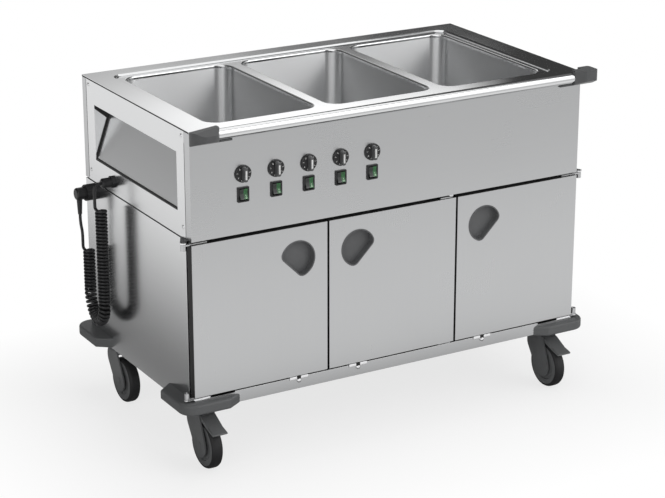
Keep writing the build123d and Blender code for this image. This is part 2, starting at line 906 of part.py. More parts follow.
left_pin = (left - hinge_out, pin_y)
right_pin = (right + hinge_out, pin_y)
inner_pin = (inner_pin_x, inner_pin_y)
grip_xs = [
    door_starts[0] + door_width - grip_inset,
    door_starts[1] + grip_inset,
    door_starts[2] + grip_inset,
]
door_plans = [
    ("left", -1, left_pin, True),
    ("middle", 1, inner_pin, False),
    ("right", 1, right_pin, True),
]
for start, grip_x, (place, toward_hinge, pin, barrel) in zip(door_starts, grip_xs, door_plans):
    save(make_door(start, grip_x, toward_hinge, pin, barrel), f"door_{place}")
    save(make_grip(grip_x, toward_hinge), f"door_grip_{place}")

# Hinge brackets: plates in the seam and on the sill's ends, each with its pin
pin_length = barrel_length - strap_thickness
seam_plate = min(bracket_thickness, seam_gap)

with BuildPart() as hinge_brackets:
    for pin_x, face_x, inward in ((left_pin[0], left, 1), (right_pin[0], right, -1)):
        pad_x = face_x + inward * bracket_pad / 2
        with BuildSketch(Plane.XY.offset(wall_top)):
            with Locations((pin_x, pin_y)):
                Circle(bracket_radius)
            with Locations((pad_x, cabinet_front + bracket_length / 2)):
                Rectangle(bracket_pad, bracket_length)
            make_hull()
        extrude(amount=seam_plate)
        with BuildSketch(Plane.XY.offset(wall_top)):
            with Locations((pin_x, pin_y)):
                Circle(hinge_pin_radius)
        extrude(amount=-(wall_top - door_top) - pin_length)
        with BuildSketch(Plane.XY.offset(base_top)):
            with Locations((pin_x, pin_y)):
                Circle(bracket_radius)
            with Locations(((pin_x + face_x + inward * strap_reach) / 2, pin_y)):
                Rectangle(abs(face_x - pin_x) + strap_reach, 2 * bracket_radius)
        extrude(amount=-bracket_thickness)
        with BuildSketch(Plane.XY.offset(base_top)):
            with Locations((pin_x, pin_y)):
                Circle(hinge_pin_radius)
        extrude(amount=sill_gap + pin_length)
    inner_plate_depth = cabinet_front - inner_pin_y
    with BuildSketch(Plane.XY.offset(wall_top)):
        with Locations(inner_pin):
            Circle(bracket_radius)
        with Locations((inner_pin_x, (cabinet_front + inner_pin_y) / 2)):
            Rectangle(2 * bracket_radius, inner_plate_depth)
    extrude(amount=seam_plate)
    with BuildSketch(Plane.XY.offset(wall_top)):
        with Locations(inner_pin):
            Circle(hinge_pin_radius)
    extrude(amount=-(wall_top - door_top) + barrel_gap)
    with BuildSketch(Plane.XY.offset(base_top)):
        with Locations(inner_pin):
            Circle(bracket_radius)
    extrude(amount=(sill_gap - foot_strap_thickness) / 2)
    with BuildSketch(Plane.XY.offset(base_top)):
        with Locations(inner_pin):
            Circle(hinge_pin_radius)
    extrude(amount=sill_gap - barrel_gap)
save(hinge_brackets, "hinge_brackets")

# Door catches: a plate on the sill under each grip, with a buffer and a stub
catch_z = base_top + catch_rise - catch_height / 2

with BuildPart() as door_catches:
    for grip_x in grip_xs:
        with BuildSketch(front_plane(grip_x, catch_z, front)):
            Rectangle(catch_width, catch_height)
        extrude(amount=catch_proud)
        with BuildSketch(front_plane(grip_x, catch_z, front)):
            Rectangle(catch_buffer_width, catch_height)
        extrude(amount=catch_buffer_proud)
        with BuildSketch(front_plane(grip_x, catch_z - catch_stub_drop, front)):
            Circle(catch_stub_radius)
        extrude(amount=catch_buffer_proud)
save(door_catches, "door_catches")

# Corner bumpers: angled blocks round the base, with slanted ends
bumper_bottom = base_bottom + bumper_rise

bumper_plans = [
    (-1, bumper_front_proud, bumper_end_arm, bumper_end_foot),
    (1, bumper_rear_proud, bumper_rear_end_arm, bumper_rear_end_foot),
]

with BuildPart() as corner_bumpers:
    for sx in (-1, 1):
        for sy, proud, end_arm, end_foot in bumper_plans:
            with BuildSketch(Plane.XY.offset(bumper_bottom)) as plan:
                with BuildLine():
                    Polyline(
                        (sx * right, sy * rear),
                        (sx * (right - bumper_front_foot), sy * rear),
                        (sx * (right - bumper_front_arm), sy * (rear + proud)),
                        (sx * (right + bumper_end_proud), sy * (rear + proud)),
                        (sx * (right + bumper_end_proud), sy * (rear - end_arm)),
                        (sx * right, sy * (rear - end_foot)),
                        close=True,
                    )
                make_face()
                tip = plan.vertices().sort_by(lambda v: sx * v.X + sy * v.Y)[-1]
                fillet(tip, bumper_corner)
            extrude(amount=bumper_height)
    flats = corner_bumpers.faces().filter_by(Axis.Z)
    outer_rims = flats.edges().filter_by(
        lambda edge: abs(edge.center().X) > right + bumper_end_proud / 4
        or abs(edge.center().Y) > rear + bumper_front_proud / 4
    )
    fillet(outer_rims, bumper_fillet)
save(corner_bumpers, "corner_bumpers")

# Castors: plates with kingpins, swivelling forks, wheels and, in front, brake pedals
castor_places = [
    ("front_left", left + castor_inset_x, front + castor_inset_y, True),
    ("front_right", right - castor_inset_x, front + castor_inset_y, True),
    ("rear_left", left + castor_inset_x, rear - castor_inset_y, False),
    ("rear_right", right - castor_inset_x, rear - castor_inset_y, False),
]
head_top = crown_bottom - race_gap
pedal_pivot_z = crown_top - pedal_pivot_drop
fork_back_z = crown_top - fork_back_radius

with BuildPart() as castor_plates:
    with BuildSketch(Plane.XY.offset(castor_plate_bottom)):
        with Locations([(x, y) for place, x, y, braked in castor_places]):
            RectangleRounded(castor_plate_width, castor_plate_length, castor_plate_corner)
    extrude(amount=castor_plate_thickness)
    with BuildSketch(Plane.XY.offset(castor_plate_bottom)):
        with Locations([(x, y) for place, x, y, braked in castor_places]):
            Circle(kingpin_radius)
    extrude(amount=-(castor_plate_bottom - head_top))
    with BuildSketch(Plane.XY.offset(head_top)):
        with Locations([(x, y) for place, x, y, braked in castor_places]):
            Circle(kingpin_head_radius)
    extrude(amount=-kingpin_head_height)
save(castor_plates, "castor_plates")


def make_fork(x, y, braked):
    axle_y = y - castor_trail
    pivot_y = y - pedal_pivot_ahead
    with BuildPart() as fork:
        with BuildSketch(side_plane(x)):
            with Locations((axle_y, axle_z)):
                Circle(fork_foot_radius)
            with Locations((y - fork_back_shift, fork_back_z)):
                Circle(fork_back_radius)
            if braked:
                with Locations((pivot_y, pedal_pivot_z)):
                    Circle(pedal_hub_radius)
            make_hull()
        extrude(amount=fork_width / 2, both=True)
        with BuildSketch(Plane.XY.offset(crown_top)):
            with Locations((x, y)):
                Circle(race_radius)
        extrude(amount=-crown_height / 2)
        with BuildSketch(Plane.XY.offset(crown_top)):
            with Locations((x, y)):
                Circle(race_radius)
        extrude(amount=race_height)
        with BuildSketch(Plane.XY):
            with Locations((x, axle_y)):
                Rectangle(fork_slot, 2 * wheel_diameter)
        extrude(amount=crown_bottom, mode=Mode.SUBTRACT)
        if braked:
            space_rear = pivot_y + pedal_hub_radius + pedal_side_gap
            with BuildSketch(Plane.XY):
                with Locations((x, space_rear - wheel_diameter)):
                    Rectangle(fork_slot, 2 * wheel_diameter)
            extrude(amount=pedal_pivot_z + pedal_hub_radius + pedal_side_gap, mode=Mode.SUBTRACT)
        with BuildSketch(Plane.XY.offset(crown_bottom)):
            with Locations((x, y)):
                Circle(kingpin_radius + running_clearance)
        extrude(amount=race_top - crown_bottom, mode=Mode.SUBTRACT)
        with BuildSketch(side_plane(x)):
            with Locations((axle_y, axle_z)):
                Circle(axle_radius)
        extrude(amount=fork_width / 2, both=True)
        for side in (-1, 1):
            with BuildSketch(side_plane(x + side * fork_width / 2)):
                with Locations((axle_y, axle_z)):
                    Circle(axle_head_radius)
            extrude(amount=side * axle_head_height)
        if braked:
            with BuildSketch(side_plane(x)):
                with Locations((pivot_y, pedal_pivot_z)):
                    Circle(pedal_pin_radius)
            extrude(amount=fork_width / 2, both=True)
    return fork


def make_wheel(x, y):
    axle_y = y - castor_trail
    rim_radius = axle_z - tyre_depth
    with BuildPart() as wheel:
        with BuildSketch(side_plane(x)):
            with Locations((axle_y, axle_z)):
                Circle(axle_z)
        extrude(amount=wheel_width / 2, both=True)
        fillet(wheel.edges().filter_by(GeomType.CIRCLE), tyre_shoulder)
        for side in (-1, 1):
            with BuildSketch(side_plane(x + side * wheel_width / 2)):
                with Locations((axle_y, axle_z)):
                    Circle(rim_radius)
            extrude(amount=-side * web_recess, mode=Mode.SUBTRACT)
        with BuildSketch(side_plane(x)):
            with Locations((axle_y, axle_z)):
                Circle(hub_radius)
        extrude(amount=hub_width / 2, both=True)
        with BuildSketch(side_plane(x)):
            with Locations((axle_y, axle_z)):
                Circle(axle_radius + running_clearance)
        extrude(amount=hub_width / 2, both=True, mode=Mode.SUBTRACT)
    return wheel


def make_pedal(x, y):
    pivot_y = y - pedal_pivot_ahead
    tip_y = pivot_y - pedal_length
    tip_z = pedal_pivot_z - pedal_fall
    shoe_y = pivot_y - shoe_ahead
    tyre_rise = (axle_z**2 - (shoe_y + shoe_length / 2 - y + castor_trail) ** 2) ** 0.5
    shoe_foot = axle_z + tyre_rise + shoe_gap
    shoe_head = pedal_pivot_z - pedal_fall * shoe_ahead / pedal_length
    half = pedal_thickness / 2
    tread = [
        (pedal_root_ahead, pedal_root_rise),
        (pedal_bend_ahead, -pedal_bend_fall),
        (pedal_length, half - pedal_fall),
        (pedal_length + half, -pedal_fall),
        (pedal_length, -half - pedal_fall),
        (pedal_bend_ahead, -pedal_bend_fall - pedal_bend_depth),
        (pedal_heel_ahead, -pedal_heel_fall),
    ]
    with BuildPart() as pedal:
        with BuildSketch(side_plane(x)):
            with Locations((pivot_y, pedal_pivot_z)):
                Circle(pedal_thickness / 2)
            with Locations((tip_y, tip_z)):
                Circle(pedal_thickness / 2)
            make_hull()
        extrude(amount=fork_slot / 2 - pedal_side_gap, both=True)
        with BuildSketch(side_plane(x)):
            with BuildLine():
                Polyline(*[(pivot_y - ahead, pedal_pivot_z + rise) for ahead, rise in tread], close=True)
            make_face()
        extrude(amount=pedal_width / 2, both=True)
        with BuildSketch(side_plane(x)):
            with Locations((pivot_y, pedal_pivot_z)):
                Circle(pedal_hub_radius)
        extrude(amount=fork_slot / 2 - pedal_side_gap, both=True)
        with BuildSketch(side_plane(x)):
            with Locations((shoe_y, (shoe_foot + shoe_head) / 2)):
                Rectangle(shoe_length, shoe_head - shoe_foot)
        extrude(amount=wheel_width / 2 - tyre_shoulder / 2, both=True)
        with BuildSketch(side_plane(x)):
            with Locations((pivot_y, pedal_pivot_z)):
                Circle(pedal_pin_radius + running_clearance)
        extrude(amount=fork_slot / 2, both=True, mode=Mode.SUBTRACT)
    return pedal


for place, x, y, braked in castor_places:
    save(make_fork(x, y, braked), f"castor_fork_{place}")
    save(make_wheel(x, y), f"castor_wheel_{place}")
    if braked:
        save(make_pedal(x, y), f"brake_pedal_{place}")

# Cord gland: a nut and cap on the end panel, its shank through the sheet
gland_end = left - gland_length

with BuildPart() as cord_gland:
    with BuildSketch(side_plane(left)):
        with Locations((gland_y, gland_z)):
            RegularPolygon(gland_nut_radius, 6)
    extrude(amount=-gland_nut_height)
    with BuildSketch(side_plane(left - gland_nut_height)):
        with Locations((gland_y, gland_z)):
            Circle(gland_cap_radius)
    extrude(amount=gland_nut_height - gland_length)
    chamfer(cord_gland.faces().sort_by(Axis.X)[0].edges(), gland_chamfer)
    with BuildSketch(side_plane(left)):
        with Locations((gland_y, gland_z)):
            Circle(gland_shank_radius)
    extrude(amount=gland_shank_length)
save(cord_gland, "cord_gland")


# Straight tails of the cord: runs and tangent arcs, each arc as large as its runs allow
def tail_path(start, route):
    points = [start + Vector(*step) for step in route]
    radii = []
    for before, corner, after in zip(points, points[1:], points[2:]):
        turn = radians((corner - before).get_angle(after - corner))
        shorter = min((corner - before).length, (after - corner).length)
        radii.append(tail_arc_share * shorter / tan(turn / 2))
    print("tail radii", [round(radius, 1) for radius in radii])
    return FilletPolyline(*points, radius=radii)


def sweep_cord(path, name):
    with BuildPart() as cord:
        with BuildSketch(Plane(origin=path @ 0, z_dir=path % 0)):
            Circle(wire_diameter / 2)
        sweep(path=path)
    plain_volume = pi * wire_diameter**2 / 4 * path.length
    print(name, "length", round(path.length), "volume ratio", round(cord.part.volume / plain_volume, 4))
    save(cord, name)


gland_tail_path = tail_path(Vector(gland_end, gland_y, gland_z), gland_route)
sweep_cord(gland_tail_path, "gland_tail")

# Curly cord: a helix round an axis that hangs down, turns and climbs again
up = Vector(0, 0, 1)
across = Vector(-column_lean, (column_spacing**2 - column_lean**2) ** 0.5, 0).normalized()
aside = across.cross(up)
bend_radius = column_spacing / 2
bend_pitch = pi * bend_radius / turns_bend
turns = turns_down + turns_bend + turns_up
ease_in = turns_down - 1
ease_out = turns_down + turns_bend
mean_pitch = (coil_pitch + bend_pitch) / 2
drop = coil_pitch * ease_in + mean_pitch


def axis_run(turn):
    """Length of the coil's axis at a turn, and its pitch there."""
    if turn <= ease_in:
        return coil_pitch * turn, coil_pitch
    if turn <= turns_down:
        part = turn - ease_in
        pitch = coil_pitch + (bend_pitch - coil_pitch) * part
        return coil_pitch * ease_in + (coil_pitch + pitch) / 2 * part, pitch
    if turn <= ease_out:
        return drop + bend_pitch * (turn - turns_down), bend_pitch
    if turn <= ease_out + 1:
        part = turn - ease_out
        pitch = bend_pitch + (coil_pitch - bend_pitch) * part
        return drop + pi * bend_radius + (bend_pitch + pitch) / 2 * part, pitch
    rest = turn - ease_out - 1
    return drop + pi * bend_radius + mean_pitch + coil_pitch * rest, coil_pitch


def coil_point(turn):
    """Point of the helix, from the top of its first column, and its direction there."""
    run, pitch = axis_run(turn)
    angle = min(max((run - drop) / bend_radius, 0), pi)
    outward = across * -cos(angle) - up * sin(angle)
    forward = across * sin(angle) - up * cos(angle)
    centre = across * bend_radius - up * drop + outward * bend_radius
    straight = min(run - drop, 0) + max(run - drop - pi * bend_radius, 0)
    centre += forward * straight
    bending = 1 / bend_radius if 0 < angle < pi else 0
    phase = 2 * pi * turn - pi / 2
    point = centre + (outward * cos(phase) + aside * sin(phase)) * coil_radius
    rate = forward * pitch * (1 + coil_radius * cos(phase) * bending)
    rate += (outward * -sin(phase) + aside * cos(phase)) * (2 * pi * coil_radius)
    return point, rate.normalized()


def biarc(start, start_way, end, end_way):
    """Two tangent arcs from one point and direction to another."""
    chord = end - start
    ways = start_way + end_way
    bend = 2 * (1 - start_way.dot(end_way))
    along = chord.dot(ways)
    arm = ((along**2 + bend * chord.dot(chord)) ** 0.5 - along) / bend
    joint = (start + start_way * arm + end - end_way * arm) * 0.5
    joint_way = (end - end_way * arm - start - start_way * arm).normalized()
    return [TangentArc(start, joint, tangent=start_way), TangentArc(joint, end, tangent=joint_way)]


first, first_way = coil_point(0)
last, last_way = coil_point(turns)
first_level = Vector(first_way.X, first_way.Y, 0).normalized()
last_level = Vector(last_way.X, last_way.Y, 0).normalized()
first_dip = -first_way.Z
last_rise = last_way.Z
entry = first - (first_level * (1 - first_dip) - up * first_way.dot(first_level)) * coil_end_radius
leave = last + (last_level * (1 - last_rise) + up * last_way.dot(last_level)) * coil_end_radius
shift = gland_tail_path @ 1 - (entry + up * wire_diameter)
quarters = [coil_point(k / 4) for k in range(int(4 * turns) + 1)]

coil_edges = [
    Line(entry + up * wire_diameter + shift, entry + shift),
    TangentArc(entry + shift, first + shift, tangent=-up),
]
for (start, start_way), (end, end_way) in zip(quarters, quarters[1:]):
    coil_edges += biarc(start + shift, start_way, end + shift, end_way)
coil_edges += [
    TangentArc(last + shift, leave + shift, tangent=last_way),
    Line(leave + shift, leave + up * wire_diameter + shift),
]
sweep_cord(Wire(coil_edges), "curly_cord")

samples_per_turn = 24
samples = [coil_point(k / samples_per_turn)[0] for k in range(int(turns * samples_per_turn) + 1)]
neighbours = range(samples_per_turn // 2, 2 * samples_per_turn)
nearest = min(
    (samples[k] - samples[k + ahead]).length
    for k in range(len(samples) - 2 * samples_per_turn)
    for ahead in neighbours
)
print("curly cord turns", turns, "least gap", round(nearest - wire_diameter, 2))

# Tail up to the plug, the angled plug and the parking socket that holds it
coil_end = leave + up * wire_diameter + shift
plug_tail_path = tail_path(coil_end, plug_route)
sweep_cord(plug_tail_path, "plug_tail")
relief_foot = plug_tail_path @ 1
plug_x = relief_foot.X
plug_y = relief_foot.Y
plug_z = relief_foot.Z + plug_rise
recess_floor = left - socket_length + socket_recess
pin_places = [(plug_y + side * plug_pin_spacing / 2, plug_z) for side in (-1, 1)]

with BuildPart() as parking_socket:
    with BuildSketch(side_plane(left)):
        with Locations((plug_y, plug_z)):
            Circle(socket_radius)
        with Locations(pin_places):
            Circle(plug_pin_radius + plug_clearance, mode=Mode.SUBTRACT)
    extrude(amount=-socket_length)
    with BuildSketch(side_plane(recess_floor)):
        with Locations((plug_y, plug_z)):
            Circle(socket_radius - socket_wall)
    extrude(amount=-socket_recess, mode=Mode.SUBTRACT)
save(parking_socket, "parking_socket")

nose_face = recess_floor - plug_clearance
nose_back = nose_face - plug_nose_length

with BuildPart() as plug:
    with BuildSketch(side_plane(nose_face)):
        with Locations((plug_y, plug_z)):
            Circle(socket_radius - socket_wall - plug_clearance)
    extrude(amount=-plug_nose_length)
    with BuildSketch(side_plane(nose_back)):
        with Locations((plug_y, plug_z)):
            Circle(plug_body_radius)
    extrude(amount=plug_x - plug_back - nose_back)
    fillet(plug.faces().sort_by(Axis.X)[0].edges(), plug_fillet)
    with BuildSketch(side_plane(nose_face)):
        with Locations(pin_places):
            Circle(plug_pin_radius)
    extrude(amount=plug_pin_length)
    with BuildSketch(Plane.XY.offset(relief_foot.Z)):
        with Locations((plug_x, plug_y)):
            Circle(relief_radius)
    with BuildSketch(Plane.XY.offset(plug_z)):
        with Locations((plug_x, plug_y)):
            Circle(relief_top_radius)
    loft()
save(plug, "plug")
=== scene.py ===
from math import cos, pi, radians, sin

import bmesh
import bpy
from mathutils import Matrix, Vector


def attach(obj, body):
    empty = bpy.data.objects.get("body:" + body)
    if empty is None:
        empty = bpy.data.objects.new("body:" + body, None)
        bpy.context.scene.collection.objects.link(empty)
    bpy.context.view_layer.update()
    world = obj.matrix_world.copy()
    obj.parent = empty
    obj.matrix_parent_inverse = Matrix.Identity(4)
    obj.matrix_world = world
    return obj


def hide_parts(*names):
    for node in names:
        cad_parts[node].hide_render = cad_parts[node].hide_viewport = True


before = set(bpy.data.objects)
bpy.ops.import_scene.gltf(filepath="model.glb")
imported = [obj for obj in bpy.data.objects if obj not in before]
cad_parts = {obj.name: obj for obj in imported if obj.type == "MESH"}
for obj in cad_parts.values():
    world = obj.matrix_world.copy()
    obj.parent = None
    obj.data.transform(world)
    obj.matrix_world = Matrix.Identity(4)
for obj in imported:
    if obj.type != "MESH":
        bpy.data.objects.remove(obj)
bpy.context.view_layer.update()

# Places of the trolley in metres, the same as in the solids
left_end = -0.577
right_end = 0.577
front_face = -0.315
rear_face = 0.315
control_pitch = 0.092
control_places = [-0.434 + control_pitch * k for k in range(5)]
knob_height = 0.775
catch_places = [-0.281333, -0.105333, 0.281333]
well_places = [("left", -0.341), ("middle", 0.0), ("right", 0.341)]
door_starts = {"left": -0.577, "middle": -0.190333, "right": 0.196333}
door_width = 0.380667
castor_places = {
    "front_left": (-0.529, -0.2435),
    "front_right": (0.529, -0.2435),
    "rear_left": (-0.529, 0.2435),
    "rear_right": (0.529, 0.2435),
}
axle_trail = 0.0375
axle_height = 0.0625


# Working with pieces


def nothing_picked():
    """Object mode with nothing selected."""
    if bpy.context.object and bpy.context.object.mode != "OBJECT":
        bpy.ops.object.mode_set(mode="OBJECT")
    bpy.ops.object.select_all(action="DESELECT")


def pick(piece):
    """Leaves one piece selected and active, in object mode."""
    nothing_picked()
    piece.select_set(True)
    bpy.context.view_layer.objects.active = piece


def start_piece(name):
    """Names the primitive just added and puts its place into its mesh."""
    piece = bpy.context.object
    piece.name = name
    piece.data.name = name
    bpy.ops.object.transform_apply(location=True, rotation=True, scale=True)
    return piece


def block(name, low, high):
    """A cube primitive brought to two corners."""
    nothing_picked()
    low, high = Vector(low), Vector(high)
    bpy.ops.mesh.primitive_cube_add(size=1, location=(low + high) / 2, scale=high - low)
    return start_piece(name)


def bare_copy(node, name):
    """A copy of a solid's mesh with its triangles merged into faces."""
    piece = bpy.data.objects.new(name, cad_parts[node].data.copy())
    bpy.context.scene.collection.objects.link(piece)
    pick(piece)
    if piece.data.has_custom_normals:
        bpy.ops.mesh.customdata_custom_splitnormals_clear()
    piece.data.materials.clear()
    bpy.ops.object.mode_set(mode="EDIT")
    bpy.ops.mesh.select_all(action="SELECT")
    bpy.ops.mesh.remove_doubles(threshold=0.00001)
    bpy.ops.mesh.dissolve_limited(angle_limit=radians(0.3))
    bpy.ops.object.mode_set(mode="OBJECT")
    return piece


def select_edges(piece, wanted):
    """Edit mode with the edges selected that a test wants; the test gets the edge and its angle."""
    pick(piece)
    bpy.ops.object.mode_set(mode="EDIT")
    bpy.ops.mesh.select_mode(type="EDGE")
    bpy.ops.mesh.select_all(action="DESELECT")
    shape = bmesh.from_edit_mesh(piece.data)
    for edge in shape.edges:
        if len(edge.link_faces) == 2 and wanted(edge, edge.calc_face_angle()):
            edge.select_set(True)
    bmesh.update_edit_mesh(piece.data)


def ease_edges(piece, width, segments=2, least=0.0, sharper=30, where=None):
    """Rounds the sharp edges that are longer than least."""

    def wanted(edge, angle):
        if angle < radians(sharper) or edge.calc_length() < least:
            return False
        return where is None or where((edge.verts[0].co + edge.verts[1].co) / 2)

    select_edges(piece, wanted)
    bpy.ops.mesh.bevel(offset=width, segments=segments, affect="EDGES", clamp_overlap=True)
    bpy.ops.object.mode_set(mode="OBJECT")
    return piece


def smooth(piece, angle=35):
    """Smooth shading that keeps flat faces flat."""
    pick(piece)
    bpy.ops.object.shade_smooth_by_angle(angle=radians(angle))
    facing = piece.modifiers.new("facing", "WEIGHTED_NORMAL")
    facing.keep_sharp = True
    bpy.ops.object.modifier_apply(modifier="facing")
    return piece


def trace(name, points):
    """A chain of vertices through the points, left selected in edit mode."""
    nothing_picked()
    bpy.ops.mesh.primitive_plane_add(size=0.001, location=points[0])
    piece = start_piece(name)
    bpy.ops.object.mode_set(mode="EDIT")
    bpy.ops.mesh.select_mode(type="VERT")
    bpy.ops.mesh.select_all(action="SELECT")
    bpy.ops.mesh.merge(type="CENTER")
    for here, there in zip(points, points[1:]):
        bpy.ops.mesh.extrude_vertices_move(TRANSFORM_OT_translate={"value": there - here})
    bpy.ops.mesh.select_all(action="SELECT")
    return piece


def turned(name, outline, centre, along, steps=48):
    """A lathe piece: the outline gives run and radius along an axis through the centre."""
    centre, along = Vector(centre), Vector(along)
    side = Vector((0, 0, 1)) if abs(along.z) < 0.5 else Vector((0, 1, 0))
    piece = trace(name, [centre + along * run + side * radius for run, radius in outline])
    bpy.ops.mesh.spin(steps=steps, angle=2 * pi, center=centre, axis=along)
    bpy.ops.mesh.select_all(action="SELECT")
    bpy.ops.mesh.remove_doubles(threshold=0.000005)
    bpy.ops.mesh.normals_make_consistent(inside=False)
    bpy.ops.object.mode_set(mode="OBJECT")
    return piece


def pressed(name, outline, depth):
    """A prism: the closed outline is filled and pulled along depth."""
    piece = trace(name, [Vector(point) for point in outline])
    bpy.ops.mesh.edge_face_add()
    bpy.ops.mesh.select_all(action="SELECT")
    bpy.ops.mesh.extrude_region_move(TRANSFORM_OT_translate={"value": Vector(depth)})
    bpy.ops.mesh.select_all(action="SELECT")
    bpy.ops.mesh.normals_make_consistent(inside=False)
    bpy.ops.object.mode_set(mode="OBJECT")
    return piece


def joined(name, pieces):
    """Several meshes made one piece."""
    pick(pieces[0])
    for piece in pieces[1:]:
        piece.select_set(True)
    bpy.ops.object.join()
    pieces[0].name = name
    return pieces[0]


def twin(piece, name, shift):
    """A copy of a piece with its own mesh, moved by a shift."""
    copy = bpy.data.objects.new(name, piece.data.copy())
    copy.data.transform(Matrix.Translation(Vector(shift)))
    bpy.context.scene.collection.objects.link(copy)
    return copy


def set_in(piece, finish, body, slot, *nodes):
    """Gives a piece its finish, its body and the solids that it stands for."""
    piece.data.materials.clear()
    piece.data.materials.append(finish)
    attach(piece, body)
    if nodes:
        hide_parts(*nodes)
    return piece


# Finishes


def new_finish(name):
    """A material with its node tree and its shader."""
    finish = bpy.data.materials.new(name)
    finish.use_nodes = True
    tree = finish.node_tree
    return finish, tree, tree.nodes["Principled BSDF"]


def pattern(tree, scale, detail=4.0, stretch=(1, 1, 1)):
    """Noise on the object's own coordinates, in cells per metre, drawn out along an axis."""
    place = tree.nodes.new("ShaderNodeTexCoord")
    draw = tree.nodes.new("ShaderNodeMapping")
    draw.inputs["Scale"].default_value = stretch
    noise = tree.nodes.new("ShaderNodeTexNoise")
    noise.inputs["Scale"].default_value = scale
    noise.inputs["Detail"].default_value = detail
    tree.links.new(place.outputs["Object"], draw.inputs["Vector"])
    tree.links.new(draw.outputs["Vector"], noise.inputs["Vector"])
    return noise.outputs["Fac"]


def spread(tree, value, low, high, start=0.3, end=0.7):
    """Brings a value from one range to another, held at the ends."""
    span = tree.nodes.new("ShaderNodeMapRange")
    span.inputs["From Min"].default_value = start
    span.inputs["From Max"].default_value = end
    span.inputs["To Min"].default_value = low
    span.inputs["To Max"].default_value = high
    tree.links.new(value, span.inputs["Value"])
    return span.outputs["Result"]


def shades(tree, value, dark, pale, start=0.3, end=0.7):
    """Two colours blended by a value."""
    ramp = tree.nodes.new("ShaderNodeValToRGB")
    ramp.color_ramp.elements[0].position = start
    ramp.color_ramp.elements[0].color = (*dark, 1)
    ramp.color_ramp.elements[1].position = end
    ramp.color_ramp.elements[1].color = (*pale, 1)
    tree.links.new(value, ramp.inputs["Fac"])
    return ramp.outputs["Color"]


def calc(tree, operation, *values):
    """A sum on sockets and plain numbers."""
    step = tree.nodes.new("ShaderNodeMath")
    step.operation = operation
    for socket, value in zip(step.inputs, values):
        if isinstance(value, (int, float)):
            socket.default_value = value
        else:
            tree.links.new(value, socket)
    return step.outputs["Value"]


def relief(tree, shader, value, strength, depth):
    """A fine unevenness of the surface."""
    bump = tree.nodes.new("ShaderNodeBump")
    bump.inputs["Strength"].default_value = strength
    bump.inputs["Distance"].default_value = depth
    tree.links.new(value, bump.inputs["Height"])
    tree.links.new(bump.outputs["Normal"], shader.inputs["Normal"])


def brushed_steel(name, tone, rough, stretch):
    """Stainless sheet: fine brushed lines, and faint wipe marks in the gloss."""
    finish, tree, shader = new_finish(name)
    shader.inputs["Metallic"].default_value = 1.0
    lines = pattern(tree, 420, 5, stretch)
    wipes = pattern(tree, 4.5, 3)
    dark = tuple(part * 0.995 for part in tone)
    pale = tuple(min(1.0, part * 1.005) for part in tone)
    tree.links.new(shades(tree, lines, dark, pale), shader.inputs["Base Color"])
    gloss = calc(tree, "ADD", spread(tree, lines, rough - 0.002, rough + 0.002), spread(tree, wipes, -0.01, 0.01))
    tree.links.new(gloss, shader.inputs["Roughness"])
    relief(tree, shader, lines, 0.0005, 0.0001)
    return finish


def polished_tub(name, tone, rough, draw):
    """Deep-drawn and polished steel: gloss drawn out upright on the walls, with faint clouds in it."""
    finish, tree, shader = new_finish(name)
    shader.inputs["Metallic"].default_value = 1.0
    clouds = pattern(tree, 14, 4)
    dark = tuple(part * 0.985 for part in tone)
    pale = tuple(min(1.0, part * 1.01) for part in tone)
    tree.links.new(shades(tree, clouds, dark, pale), shader.inputs["Base Color"])
    tree.links.new(spread(tree, clouds, rough - 0.01, rough + 0.01), shader.inputs["Roughness"])
    around = tree.nodes.new("ShaderNodeTangent")
    around.direction_type = "RADIAL"
    around.axis = "Z"
    tree.links.new(around.outputs["Tangent"], shader.inputs["Tangent"])
    facing = tree.nodes.new("ShaderNodeSeparateXYZ")
    tree.links.new(tree.nodes.new("ShaderNodeNewGeometry").outputs["Normal"], facing.inputs["Vector"])
    level = calc(tree, "ABSOLUTE", facing.outputs["Z"])
    tree.links.new(spread(tree, level, draw, 0, 0.3, 0.8), shader.inputs["Anisotropic"])
    shader.inputs["Anisotropic Rotation"].default_value = 0.25
    return finish


def drawn_steel(name, tone, rough):
    """Deep-drawn or turned steel: satin, with clouds of slightly different gloss."""
    finish, tree, shader = new_finish(name)
    shader.inputs["Metallic"].default_value = 1.0
    clouds = pattern(tree, 14, 4)
    specks = pattern(tree, 900, 2)
    dark = tuple(part * 0.98 for part in tone)
    pale = tuple(min(1.0, part * 1.015) for part in tone)
    tree.links.new(shades(tree, clouds, dark, pale), shader.inputs["Base Color"])
    tree.links.new(spread(tree, clouds, rough - 0.012, rough + 0.012), shader.inputs["Roughness"])
    relief(tree, shader, specks, 0.02, 0.0001)
    return finish


def moulded(name, colour, rough, grain=1400, depth=0.00012, clouds=9):
    """Moulded plastic: a fine grain and a little unevenness in its colour."""
    finish, tree, shader = new_finish(name)
    shader.inputs["Specular IOR Level"].default_value = 0.4
    cloud = pattern(tree, clouds, 4)
    skin = pattern(tree, grain, 3)
    dark = tuple(part * 0.88 for part in colour)
    pale = tuple(part * 1.12 for part in colour)
    tree.links.new(shades(tree, cloud, dark, pale), shader.inputs["Base Color"])
    tree.links.new(spread(tree, skin, rough - 0.07, rough + 0.07), shader.inputs["Roughness"])
    relief(tree, shader, skin, 0.25, depth)
    return finish


